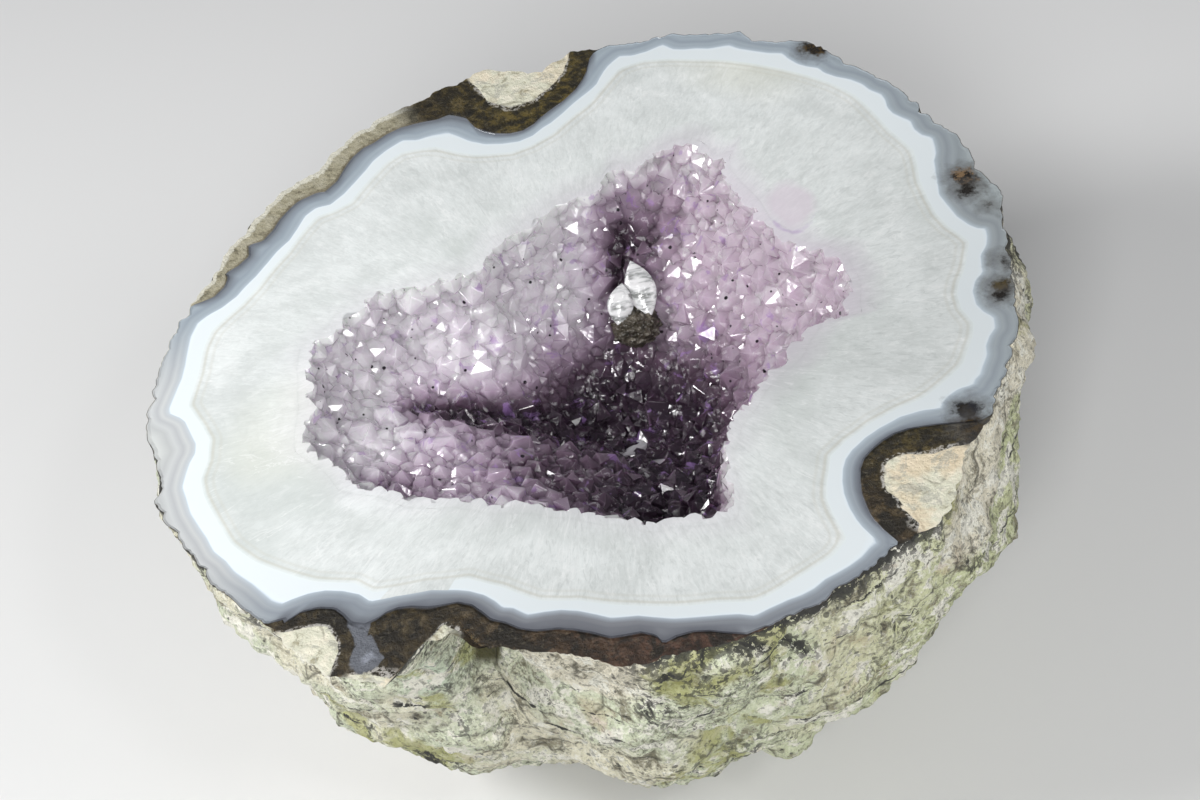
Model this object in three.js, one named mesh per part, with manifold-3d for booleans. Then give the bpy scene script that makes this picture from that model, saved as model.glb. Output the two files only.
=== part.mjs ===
// A geode half: a rough stone sawn flat across its hollow. The stone is one solid of rind, agate
// and quartz. A druse of six-sided crystals lines the hollow, and two pale crystals grow on it.
import * as THREE from 'three';
import { mergeVertices } from 'three/addons/utils/BufferGeometryUtils.js';
import Module from 'manifold-3d';

const wasm = await Module();
wasm.setup();

// Driving dimensions of the stone, in millimetres and degrees
const STONE_HEIGHT = 82; // sawn face above the surface that the stone rests on
const CLOSING_DEPTH = 84; // depth below the face at which the round underside would close
const FULLNESS = 2.15; // power of the side's curve: 2 is round, more is boxier
const UNDERSIDE_SHIFT = [0, 4]; // how far the underside lies off the middle of the face
const RIM_FADE = 8; // depth over which the broken rim's bumps die out
const BULGE_DEPTH = 20; // depth at which the sides bulge or draw in the most
const BULGES = [
  { angle: -25, spread: 35, out: 3.3 },
  { angle: -125, spread: 25, out: -9.5 },
];
const STONE_SEGMENTS = 96;
const STONE_ROWS = 12;

// The outlines on the face are drawn from one mark, the middle of the rays that they are read
// along, and BOX_MIDDLE is the middle of the whole stone's plan from the same mark.
const RAY_MIDDLE = [0, 12];
const BOX_MIDDLE = [-0.6, 18.7];

// Broken outer edge of the sawn face
const RIM = [
  [79, 32.8], [77.2, 40], [75.6, 46.7], [74, 53.5], [71.3, 57.5], [69.2, 61], [68, 66.5], [64.7, 73],
  [60.5, 77], [57.8, 81], [55, 85], [52, 88], [45, 90.2], [41.2, 91], [40, 94.3], [31, 95.3],
  [27, 97], [15, 97.3], [6, 97], [0, 92.5], [-5, 94.2], [-10.6, 96.1], [-17, 93.2], [-23.9, 90.3],
  [-33, 86.7], [-40.6, 81.1], [-45.3, 75], [-52.5, 70.7], [-57.2, 65.3], [-62.2, 58.3],
  [-64.7, 55.3], [-67.3, 50], [-71.4, 43.3], [-74.7, 36.1], [-77.5, 26.7], [-79, 18.9],
  [-80.4, 11.7], [-78.8, 5], [-78.2, -2.8], [-78.9, -5.6], [-75.8, -14.1], [-72.8, -20.2],
  [-69.7, -26.9], [-65.6, -33], [-61.1, -38], [-56, -46], [-48, -53], [-42, -56], [-38, -53],
  [-36, -48.5], [-31, -47.5], [-27, -51], [-15, -54.5], [-9.4, -57], [-5, -60], [3.3, -59.7],
  [16.7, -58.8], [23.9, -56.3], [29.4, -54.7], [35.6, -50.8], [41.1, -47.2], [46.9, -43.8],
  [50, -43], [54, -39], [56, -35], [58, -30], [62.8, -23], [65.6, -18.6], [69.4, -10.8], [74, 0],
  [75.5, 10], [76.7, 20], [77.5, 30],
];

// Lumps, pits and ledges of the rind, by the side that they face and their depth below the face
const RIND_MARKS = [
  { angle: -116.5, depth: 5, across: 4.5, down: 7, out: -9 },
  { angle: -112, depth: 17, across: 4, down: 8, out: -4 },
  { angle: -122, depth: 5, across: 4, down: 6, out: 2.5 },
  { angle: -80, depth: 33, across: 5, down: 4, out: -3.5 },
  { angle: -66, depth: 57, across: 5, down: 4, out: 4 },
  { angle: -38, depth: 9, across: 9, down: 7, out: -2.5 },
  { angle: -98, depth: 26, across: 12, down: 9, out: 2 },
  { angle: -20, depth: 34, across: 12, down: 10, out: 2.5 },
  { angle: 15, depth: 22, across: 10, down: 10, out: -2.5 },
  { angle: 48, depth: 30, across: 12, down: 9, out: 3 },
  { angle: 82, depth: 14, across: 8, down: 7, out: -4 },
  { angle: 108, depth: 36, across: 13, down: 12, out: 3 },
  { angle: 140, depth: 20, across: 9, down: 8, out: -3.5 },
  { angle: 170, depth: 40, across: 12, down: 11, out: 3 },
  { angle: -158, depth: 16, across: 10, down: 8, out: -3 },
  { angle: -140, depth: 52, across: 12, down: 10, out: 2.5 },
];
const RIPPLES = [
  { waves: [0.11, 0.07, 0.13], phase: 0.4, height: 0.9 },
  { waves: [-0.17, 0.15, 0.1], phase: 2.1, height: 0.7 },
  { waves: [0.24, 0.21, -0.26], phase: 4.0, height: 0.5 },
];

// Edge of the hollow where the saw crossed it
const HOLLOW_EDGE = [
  [49, 15], [49.5, 20], [48.5, 25], [46, 32.5], [42, 31.5], [39, 31.5], [37, 38], [35, 45],
  [33, 50], [31, 55], [30, 58], [33, 60.6], [27.8, 63.9], [24.4, 65.6], [19.4, 64.4], [13.3, 60.6],
  [10, 62], [6.7, 57], [0, 56], [-3, 54], [-8, 49.5], [-15, 46], [-19.4, 39.7], [-31.7, 38.1],
  [-40.1, 38.6], [-40.6, 35], [-45.3, 33.9], [-47.2, 30], [-50, 28.1], [-51.7, 26], [-52.8, 12],
  [-54, 1], [-50, -5], [-47, -11], [-40, -13.5], [-36, -17], [-28, -19.5], [-13, -24], [0, -30],
  [6, -33], [19, -33], [20.5, -18], [24, -10], [29, -4.5], [36, 2], [40.5, 9.3], [48, 10],
];

// Depth of the hollow at places on its floor: the near shelf and its crest, the left trough, the
// deep pocket, the cleft that runs up from it, and the right-hand slope
const SOUNDINGS = [
  [-46, 8, 13], [-44, 20, 16], [-30, 27, 23], [-33, 3, 12], [-20, -6, 11], [-18, 6, 15],
  [-16, 27, 29], [-22, 36, 17], [-5, 2, 18], [-3, 38, 43], [2, 28, 45], [-4, 16, 33],
  [4, -8, 20], [13, -18, 26], [14, 2, 34], [15, 18, 39], [27, 10, 27], [37, 18, 17],
  [26, 30, 31], [33, 38, 16], [22, 48, 20], [16, 57, 13], [7, 47, 33], [-10, 44, 24],
];
const SOUNDING_REACH = 8.5;
const WALL_POWER = 2.6; // 2 is a round bowl, more has steeper walls and a flatter floor
const HOLLOW_SEGMENTS = 44;
const HOLLOW_ROWS = 6;

// Driving dimensions of the crystals
const CLEARANCE = 0.3; // gap that each of the separate solids keeps to the next
const CRUST_THICKNESS = 2.4;
const CRYSTAL_SPACING = 10.4;
const CRYSTAL_TRIES = 2600;
const CRYSTAL_RADIUS = [4.4, 6.4];
const CRYSTAL_LENGTH = [8, 13];
const CRYSTAL_TIP_SHARE = 0.55; // share of a crystal's length that is its point
const CRYSTAL_LEAN = 0.38;
const BLADE_SIDES = 12;

// The pale crystals, from the mark on the face: where their foot is, its half sizes, and each
// blade's size, its turn and tip in degrees, and its middle from the foot
const PALE_FOOT = [9.5, 38.5, -22.5];
const PALE_LUMP = [5.5, 4.2, 5];
const PALE_BLADES = [
  { width: 7, height: 12, thickness: 3.2, turn: [-12, -50], offset: [2.4, 4, 6] },
  { width: 5.4, height: 8.6, thickness: 3.2, turn: [16, -44], offset: [-2.5, 1.8, 5.6] },
];

const radians = THREE.MathUtils.degToRad;
const lerp = THREE.MathUtils.lerp;

// Numbers from 0 to 1 that are the same in each run
function seededRandom(seed) {
  let state = seed;
  return () => {
    state = (state * 1664525 + 1013904223) % 4294967296;
    return state / 4294967296;
  };
}

// Distance of an outline from RAY_MIDDLE in the direction of an angle in radians
function outlineReach(outline) {
  const turn = 2 * Math.PI;
  const rays = outline.map(([x, y]) => {
    const dx = x - RAY_MIDDLE[0];
    const dy = y - RAY_MIDDLE[1];
    return { angle: (Math.atan2(dy, dx) + turn) % turn, reach: Math.hypot(dx, dy) };
  }).sort((a, b) => a.angle - b.angle);
  return (angle) => {
    const wanted = ((angle % turn) + turn) % turn;
    let next = rays.findIndex((ray) => ray.angle > wanted);
    if (next < 0) next = rays.length;
    const after = rays[next % rays.length];
    const before = rays[(next + rays.length - 1) % rays.length];
    const span = (after.angle - before.angle + turn) % turn;
    const along = (wanted - before.angle + turn) % turn;
    return lerp(before.reach, after.reach, span > 0 ? along / span : 0);
  };
}

// The same reach, averaged over a window so that small bumps are gone
function softenedReach(reach, window) {
  const steps = 12;
  return (angle) => {
    let sum = 0;
    let weights = 0;
    for (let i = -steps; i <= steps; i += 1) {
      const weight = 1 + Math.cos((Math.PI * i) / (steps + 1));
      sum += weight * reach(angle + radians((window * i) / steps));
      weights += weight;
    }
    return sum / weights;
  };
}

const rimReach = outlineReach(RIM);
const softRimReach = softenedReach(rimReach, 20);
const hollowReach = outlineReach(HOLLOW_EDGE);

// How near two angles in degrees are, as a bell curve
function angleBell(angle, middle, spread) {
  const gap = ((angle - middle + 540) % 360) - 180;
  return Math.exp(-((gap / spread) ** 2));
}

// Height of the rind's lumps and pits over the smooth body
function rindRelief(angle, depth, point) {
  const degrees = THREE.MathUtils.radToDeg(angle);
  let relief = 0;
  for (const mark of RIND_MARKS) {
    const down = Math.exp(-(((depth - mark.depth) / mark.down) ** 2));
    relief += mark.out * angleBell(degrees, mark.angle, mark.across) * down;
  }
  let ripple = 0;
  for (const { waves, phase, height } of RIPPLES) {
    ripple += height * Math.sin(waves[0] * point.x + waves[1] * point.y + waves[2] * point.z + phase);
  }
  const rimHold = Math.min(depth / 5, 1);
  const baseHold = Math.min((STONE_HEIGHT - depth) / 6, 1);
  return (relief * Math.min(depth / 1.5, 1) + ripple * rimHold) * Math.max(baseHold, 0);
}

// Point of the stone's outside at an angle and a depth below the face
function rindPoint(angle, depth) {
  const along = depth / CLOSING_DEPTH;
  const share = (1 - along ** FULLNESS) ** (1 / FULLNESS);
  const degrees = THREE.MathUtils.radToDeg(angle);
  const swell = (depth / BULGE_DEPTH) * Math.exp(1 - depth / BULGE_DEPTH) * Math.min(1, share * 1.5);
  let reach = softRimReach(angle) * share;
  for (const bulge of BULGES) reach += bulge.out * angleBell(degrees, bulge.angle, bulge.spread) * swell;
  reach += (rimReach(angle) - softRimReach(angle)) * Math.exp(-depth / RIM_FADE);
  const point = new THREE.Vector3(reach * Math.cos(angle), reach * Math.sin(angle), -depth);
  point.multiplyScalar(1 + rindRelief(angle, depth, point) / point.length());
  point.x += RAY_MIDDLE[0] - BOX_MIDDLE[0] + UNDERSIDE_SHIFT[0] * along;
  point.y += RAY_MIDDLE[1] - BOX_MIDDLE[1] + UNDERSIDE_SHIFT[1] * along;
  point.z += STONE_HEIGHT;
  return point;
}

// Depth of the hollow's floor at a place on the face, before its walls draw it up
function soundedDepth(x, y) {
  let sum = 0;
  let weights = 0;
  for (const [sx, sy, depth] of SOUNDINGS) {
    const weight = Math.exp(-(((x - sx) ** 2 + (y - sy) ** 2) / (2 * SOUNDING_REACH ** 2)));
    sum += weight * depth;
    weights += weight;
  }
  return sum / weights;
}

// Point of the hollow's wall: down runs from 0 at the face to 1 at the middle of the floor
function hollowPoint(angle, down, inset = 0) {
  const power = 2 / WALL_POWER;
  const share = Math.max(Math.cos((down * Math.PI) / 2), 0) ** power;
  const reach = Math.max(hollowReach(angle) - inset, 0) * share;
  const x = RAY_MIDDLE[0] + reach * Math.cos(angle);
  const y = RAY_MIDDLE[1] + reach * Math.sin(angle);
  const depth = (soundedDepth(x, y) - inset) * Math.sin((down * Math.PI) / 2) ** power;
  return new THREE.Vector3(x - BOX_MIDDLE[0], y - BOX_MIDDLE[1], STONE_HEIGHT - depth);
}

// Closed body through rings of points that run from its top to its bottom
function ringGeometry(rings, top, bottom) {
  const count = rings[0].length;
  const points = [top, ...rings.flat(), bottom];
  const last = points.length - 1;
  const faces = [];
  for (let i = 0; i < count; i += 1) {
    const j = (i + 1) % count;
    faces.push(0, 1 + i, 1 + j);
    for (let row = 0; row < rings.length - 1; row += 1) {
      const upper = 1 + row * count;
      const lower = upper + count;
      faces.push(upper + i, lower + i, lower + j, upper + i, lower + j, upper + j);
    }
    const base = 1 + (rings.length - 1) * count;
    faces.push(last, base + j, base + i);
  }
  const geometry = new THREE.BufferGeometry();
  geometry.setAttribute('position', new THREE.Float32BufferAttribute(points.flatMap((p) => p.toArray()), 3));
  geometry.setIndex(faces);
  return geometry;
}

// three.js geometry to a solid that can be cut and joined
function solidOf(geometry) {
  const bare = geometry.clone();
  bare.deleteAttribute('normal');
  bare.deleteAttribute('uv');
  const merged = mergeVertices(bare, 1e-5);
  return new wasm.Manifold(new wasm.Mesh({
    numProp: 3,
    vertProperties: Float32Array.from(merged.attributes.position.array),
    triVerts: Uint32Array.from(merged.index.array),
  }));
}

// A cut and joined solid back to a three.js mesh with its own finish
function meshOf(name, solid, finish) {
  const { vertProperties, triVerts } = solid.getMesh();
  const geometry = new THREE.BufferGeometry();
  geometry.setAttribute('position', new THREE.Float32BufferAttribute(vertProperties, 3));
  geometry.setIndex(new THREE.Uint32BufferAttribute(triVerts, 1));
  geometry.computeVertexNormals();
  const mesh = new THREE.Mesh(geometry, new THREE.MeshStandardMaterial(finish));
  mesh.name = name;
  return mesh;
}

// The whole stone before its hollow is taken out
function stoneBody() {
  const rings = [];
  for (let row = 0; row <= STONE_ROWS; row += 1) {
    const depth = STONE_HEIGHT * Math.sin((Math.PI / 2) * (row / STONE_ROWS) ** 0.92);
    const ring = [];
    for (let i = 0; i < STONE_SEGMENTS; i += 1) {
      ring.push(rindPoint((2 * Math.PI * i) / STONE_SEGMENTS, depth));
    }
    rings.push(ring);
  }
  const middle = (z) => new THREE.Vector3(RAY_MIDDLE[0] - BOX_MIDDLE[0], RAY_MIDDLE[1] - BOX_MIDDLE[1], z);
  return solidOf(ringGeometry(rings, middle(STONE_HEIGHT), middle(0)));
}

// The space inside the hollow, drawn in from its wall by an inset and topped at a height
function hollowBody(inset, top) {
  const rings = [];
  for (let row = 0; row < HOLLOW_ROWS; row += 1) {
    const ring = [];
    for (let i = 0; i < HOLLOW_SEGMENTS; i += 1) {
      ring.push(hollowPoint((2 * Math.PI * i) / HOLLOW_SEGMENTS, row / HOLLOW_ROWS, inset));
    }
    rings.push(ring);
  }
  if (top > STONE_HEIGHT) rings.unshift(rings[0].map((p) => p.clone().setZ(top)));
  const lid = new THREE.Vector3(RAY_MIDDLE[0] - BOX_MIDDLE[0], RAY_MIDDLE[1] - BOX_MIDDLE[1], top);
  return solidOf(ringGeometry(rings, lid, hollowPoint(0, 1, inset)));
}

// Direction out of the hollow's wall, into its space
function hollowNormal(angle, down) {
  const here = hollowPoint(angle, down);
  const across = hollowPoint(angle + 0.04, down).sub(hollowPoint(angle - 0.04, down));
  const below = hollowPoint(angle, Math.min(down + 0.03, 0.99)).sub(hollowPoint(angle, Math.max(down - 0.03, 0)));
  const normal = below.cross(across).normalize();
  const inward = hollowPoint(0, 0.6).setZ(STONE_HEIGHT - 8).sub(here);
  return normal.dot(inward) < 0 ? normal.negate() : normal;
}

// Places for the crystals on the hollow's wall, none nearer to the next than a spacing
function crystalSites(random, spacing, tries) {
  const sites = [];
  for (let i = 0; i < tries; i += 1) {
    const angle = 2 * Math.PI * random();
    const down = 1 - random() ** 0.75;
    const place = hollowPoint(angle, down, 1);
    if (sites.every((site) => site.place.distanceTo(place) > spacing)) {
      sites.push({ place, normal: hollowNormal(angle, down) });
    }
  }
  return sites;
}

// A six-sided quartz crystal with a lopsided point, growing from a place in a direction
function quartzCrystal(radius, length, skew, spin) {
  const shoulder = length * (1 - CRYSTAL_TIP_SHARE);
  const profile = [[0, 0], [radius * 0.86, 0], [radius, shoulder], [0, length]];
  const geometry = new THREE.LatheGeometry(profile.map(([r, y]) => new THREE.Vector2(r, y)), 6);
  const position = geometry.attributes.position;
  for (let i = 0; i < position.count; i += 1) {
    if (position.getY(i) > length - 1e-3) position.setX(i, skew);
  }
  geometry.rotateY(spin);
  return geometry;
}

// Turns a shape that grows along +Y to a direction, and puts its foot at a place
function planted(geometry, place, direction) {
  const turn = new THREE.Quaternion().setFromUnitVectors(new THREE.Vector3(0, 1, 0), direction);
  return geometry.applyQuaternion(turn).translate(place.x, place.y, place.z);
}

// Solid of all the crystals, before they are trimmed to the hollow
function crystalMass() {
  const random = seededRandom(11);
  const pick = ([low, high]) => lerp(low, high, random());
  const crystals = crystalSites(random, CRYSTAL_SPACING, CRYSTAL_TRIES).map(({ place, normal }) => {
    const lean = new THREE.Vector3(random() - 0.5, random() - 0.5, random() - 0.5).multiplyScalar(2 * CRYSTAL_LEAN);
    const direction = normal.clone().add(lean).normalize();
    const radius = pick(CRYSTAL_RADIUS);
    const crystal = quartzCrystal(radius, pick(CRYSTAL_LENGTH), radius * (random() - 0.5), Math.PI * random());
    return solidOf(planted(crystal, place.clone().addScaledVector(direction, -1.5), direction));
  });
  return wasm.Manifold.union(crystals);
}

// A tabular crystal: a bevelled disc drawn out to a lens, its broad side facing along +Y
function blade({ width, height, thickness }, grow) {
  const half = thickness / 2 + grow;
  const profile = [[0, -half], [0.72, -half], [1, -half * 0.2], [1, half * 0.2], [0.72, half], [0, half]];
  const points = profile.map(([r, y]) => new THREE.Vector2(r, y));
  return new THREE.LatheGeometry(points, BLADE_SIDES).scale(width / 2 + grow, 1, height / 2 + grow);
}

// The pair of pale blades that stand in the cleft, and the lumpy foot that they share
function paleCrystals(grow) {
  const foot = new THREE.Vector3(...PALE_FOOT);
  foot.x -= BOX_MIDDLE[0];
  foot.y -= BOX_MIDDLE[1];
  foot.z += STONE_HEIGHT;
  const pieces = PALE_BLADES.map((form) => {
    const [turn, tip] = form.turn.map(radians);
    const disc = blade(form, grow).rotateY(turn).rotateX(tip);
    return solidOf(disc.translate(foot.x + form.offset[0], foot.y + form.offset[1], foot.z + form.offset[2]));
  });
  const lump = new THREE.IcosahedronGeometry(1, 1);
  lump.scale(...PALE_LUMP.map((size) => size + grow)).translate(foot.x, foot.y, foot.z);
  return wasm.Manifold.union([...pieces, solidOf(lump)]);
}

const stone = stoneBody().subtract(hollowBody(0, STONE_HEIGHT + 3));
const lining = hollowBody(CLEARANCE, STONE_HEIGHT);
const shell = lining.subtract(hollowBody(CLEARANCE + CRUST_THICKNESS, STONE_HEIGHT + 3));
const crust = shell.add(crystalMass().intersect(lining)).subtract(paleCrystals(CLEARANCE));
const pale = paleCrystals(0).intersect(lining);

const geode = new THREE.Group();
geode.add(
  meshOf('stone', stone, { color: 0xcfd0c4, roughness: 0.7, metalness: 0 }),
  meshOf('crystal_crust', crust, { color: 0xa898ad, roughness: 0.12, metalness: 0 }),
  meshOf('pale_crystals', pale, { color: 0xe8e6e2, roughness: 0.2, metalness: 0 }),
);

export default geode;
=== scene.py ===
"""A sawn geode half: rough rind, banded agate, milky quartz and a hollow lined with pale amethyst."""

import logging
import math
from dataclasses import dataclass, field
from enum import IntEnum
from typing import Sequence

import bmesh
import bpy
import numpy as np
from mathutils import Matrix, Vector, noise
from mathutils.kdtree import KDTree


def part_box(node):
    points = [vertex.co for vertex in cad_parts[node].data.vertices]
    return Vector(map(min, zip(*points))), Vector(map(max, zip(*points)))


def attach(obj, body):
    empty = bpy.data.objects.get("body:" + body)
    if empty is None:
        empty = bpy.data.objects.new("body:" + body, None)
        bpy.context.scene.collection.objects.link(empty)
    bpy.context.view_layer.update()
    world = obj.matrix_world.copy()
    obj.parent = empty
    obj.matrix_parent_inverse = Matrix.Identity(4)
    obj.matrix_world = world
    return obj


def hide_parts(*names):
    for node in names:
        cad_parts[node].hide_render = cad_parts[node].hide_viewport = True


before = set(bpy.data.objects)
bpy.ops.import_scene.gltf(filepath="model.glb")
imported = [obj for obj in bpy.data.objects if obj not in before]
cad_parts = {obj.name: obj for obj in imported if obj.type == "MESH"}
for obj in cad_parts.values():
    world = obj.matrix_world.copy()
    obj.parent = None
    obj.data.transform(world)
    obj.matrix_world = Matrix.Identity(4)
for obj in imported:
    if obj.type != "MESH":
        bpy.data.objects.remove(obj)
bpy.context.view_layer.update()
log = logging.getLogger("geode")

MM = 0.001
TURN = 2.0 * math.pi
BODY = "root"
STONE_NODE = "stone"
CRUST_NODE = "crystal_crust"
PALE_NODE = "pale_crystals"

# The outlines on the sawn face are drawn in millimetres from one mark on it, with X to the right
# and Y away. RAY_MIDDLE is where the rays start that they are read along, and BOX_MIDDLE is the
# middle of the stone's plan.
RAY_MIDDLE = (0.0, 12.0)
BOX_MIDDLE = (-0.6, 18.7)
STONE_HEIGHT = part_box(STONE_NODE)[1][2] / MM

CRUST_SEGMENTS = 350

Points = Sequence[tuple[float, float]]
Triple = tuple[float, float, float]
Socket = bpy.types.NodeSocket

# Broken outer edge of the sawn face
RIM: Points = (
    (79, 32.8), (78.3, 36.7), (77.2, 40), (75.7, 42.8), (75.6, 46.7), (75, 50.5), (74, 53.5), (72.5, 55),
    (71.3, 57.5), (70.7, 60.3), (69.2, 61), (69.2, 63.5), (68, 66.5), (67, 69), (65.5, 70.3), (64.7, 73),
    (63.3, 73.5), (62, 75.5), (60.5, 77), (58, 79), (57.8, 81), (56.5, 83), (55, 85), (52, 88), (48, 89),
    (45, 90.2), (41.2, 91), (40, 94.3), (38, 94.2), (35, 95), (31, 95.3), (27, 97), (23, 97), (20, 96.5),
    (15, 97.3), (12, 96.5), (10, 97), (6, 97), (4, 95), (2, 94.5), (0, 92.5), (-2.8, 92.8), (-5, 94.2),
    (-7.8, 95), (-10.6, 96.1), (-13.3, 95.6), (-14.2, 94.7), (-17, 93.2), (-18.9, 93.2), (-21.1, 92.2),
    (-23.9, 90.3), (-26.7, 89.3), (-30, 88.3), (-33, 86.7), (-35, 85.3), (-37.8, 83.6), (-40.6, 81.1),
    (-42.8, 78.9), (-43.6, 77.2), (-45.3, 75), (-48.6, 73.3), (-51.1, 71.1), (-52.5, 70.7), (-53.9, 69.7),
    (-54.7, 67.8), (-57.2, 65.3), (-59.4, 62.2), (-60.6, 59.7), (-62.2, 58.3), (-64.7, 55.3), (-65.6, 51.7),
    (-67.3, 50), (-67.8, 47.8), (-70, 45), (-71.4, 43.3), (-71.9, 40.3), (-73.3, 39.4), (-74.7, 36.1),
    (-75.6, 33.3), (-76.9, 30.6), (-77.5, 26.7), (-78.1, 24.2), (-79, 22.2), (-79, 18.9), (-80.1, 15.6),
    (-80.4, 11.7), (-79.7, 8.9), (-78.8, 5), (-78.1, 1.1), (-78.2, -2.8), (-78.9, -5.6), (-77.5, -10.2),
    (-75.8, -14.1), (-74.2, -17.2), (-72.8, -20.2), (-70.6, -24.1), (-69.7, -26.9), (-67.2, -30.2),
    (-65.6, -33), (-63.3, -35.2), (-61.1, -38), (-59.5, -41), (-56, -46), (-52, -51), (-48, -53),
    (-42, -56), (-36, -48.5), (-31, -47.5), (-27, -51), (-21, -53), (-15, -54.5), (-9.4, -57), (-5, -60),
    (0, -60.8), (3.3, -59.7), (10, -59.7), (16.7, -58.8), (20.6, -57.2), (23.9, -56.3), (27.2, -55.2),
    (29.4, -54.7), (32.2, -52.4), (35.6, -50.8), (38.9, -49.1), (41.1, -47.2), (43.3, -45.8), (46.9, -43.8),
    (50, -43), (54, -39), (56, -35), (58, -30), (60, -25.8), (62.8, -23), (64.4, -20.8), (65.6, -18.6),
    (66.7, -15.2), (68.3, -13), (69.4, -10.8), (72, -5), (74, 0), (75.5, 10), (76.7, 20), (77.5, 30),
)

# Where cream matrix at the rim ends at a ring of brown rock, in three patches; elsewhere it is the rim
MATRIX_EDGE: dict[str, Points] = {
    "upper": (
        (-15, 94.6), (-12.5, 90), (-11.8, 86.5), (-9, 84), (-5.5, 83.6), (-2, 85), (1, 87.5), (3.5, 90.5),
        (5.5, 95)),
    "lower right": (
        (47.4, -43.4), (48.3, -41.3), (48.2, -38.6), (46.6, -36.9), (45.4, -35.8), (44.6, -33),
        (44.6, -29.7), (45.2, -27.2), (46.9, -25.7), (48.9, -25.2), (51.3, -26), (54, -26.4), (57, -25.6),
        (60, -25.6)),
    "lower left": (
        (-60.8, -38.6), (-58.6, -40.6), (-56, -40.4), (-53, -40.2), (-50.6, -41), (-49.3, -43.5),
        (-49.2, -46.5), (-50.6, -50.4)),
    "below the tongue": (
        (-48.9, -51.9), (-46, -52.4), (-43.2, -53.4), (-40.8, -54.6)),
    "bottom": (
        (-34.3, -47.9), (-33.4, -46.4), (-31.7, -45.2), (-29.6, -46.6), (-27.8, -50.6)),
}

# Where rock meets chalcedony, in the same way
CONTACT: dict[str, Points] = {
    "upper left": (
        (-71.8, 42.6), (-69.6, 43.2), (-67, 44), (-64.9, 46.4), (-64.2, 48.6), (-64.6, 50), (-62.2, 51.4),
        (-60, 53.6), (-60, 56.7), (-57.2, 57.2), (-55, 60), (-53.9, 62.2), (-51.7, 65), (-50, 66.7),
        (-46.1, 68.3), (-44.7, 68.1), (-42.2, 70.6), (-40.6, 73.9), (-38.9, 76.7), (-36.7, 78.9),
        (-34.4, 80), (-31.7, 81.9), (-28.9, 83.1), (-25, 83.6), (-21.7, 83.6), (-19.4, 84.4), (-17.8, 83.6),
        (-15.8, 82.2), (-15.3, 80), (-13.3, 77.8), (-11.1, 76.4), (-8.3, 75.6), (-5.6, 75.8), (-3.3, 77.2),
        (-1.7, 78.9), (0, 80.3), (3, 82.5), (6, 85.5), (7.5, 88), (8.5, 90), (9, 93), (10.5, 95.5),
        (12, 96.5)),
    "lower left": (
        (-60.9, -38.1), (-58.3, -38.8), (-57.2, -37.7), (-55, -36.9), (-52.2, -36.6), (-49.4, -37.4),
        (-48.1, -39.1), (-46.9, -41.2), (-44.9, -42.2), (-42.6, -41.4), (-41.2, -40.4), (-38.9, -39.7),
        (-36.7, -39.9), (-33.9, -40.8), (-28.9, -40.8), (-26.7, -41.9), (-25, -44.1), (-23.9, -45.8),
        (-21.7, -46.9), (-19.4, -48.8), (-16.7, -49.9), (-13.3, -50.2), (-10.6, -51.1), (-7.8, -52.4),
        (-5, -54.1), (0, -54.1), (2.2, -55.2), (3.3, -57.2), (5.6, -56.2), (8.3, -55.8), (11.1, -56.3),
        (13.3, -57.2), (16.7, -58.3), (20, -57.3)),
    "lower right": (
        (44.6, -45.1), (43, -42.6), (41.9, -40.3), (41, -38.2), (40.6, -35.8), (40.3, -32.4), (40.6, -29.7),
        (41.1, -26.9), (42.2, -24.7), (43.9, -23), (46.1, -21.3), (48.3, -20.2), (51.1, -19.7),
        (53.3, -19.8), (55.5, -19.9), (58, -20.2), (60.5, -20.6), (62.8, -20.9), (65, -19.8)),
}

# Tongue of chalcedony between the two brown patches at the lower left
TONGUE: Points = (
    (-47.4, -38.2), (-43.4, -41.3), (-44.0, -44.1), (-43.0, -46.8), (-42.0, -49.5), (-41.6, -53.2),
    (-45.7, -52.4), (-49.2, -51.2), (-46.9, -48.3), (-46.2, -45), (-47.6, -42.0),
)

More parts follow.
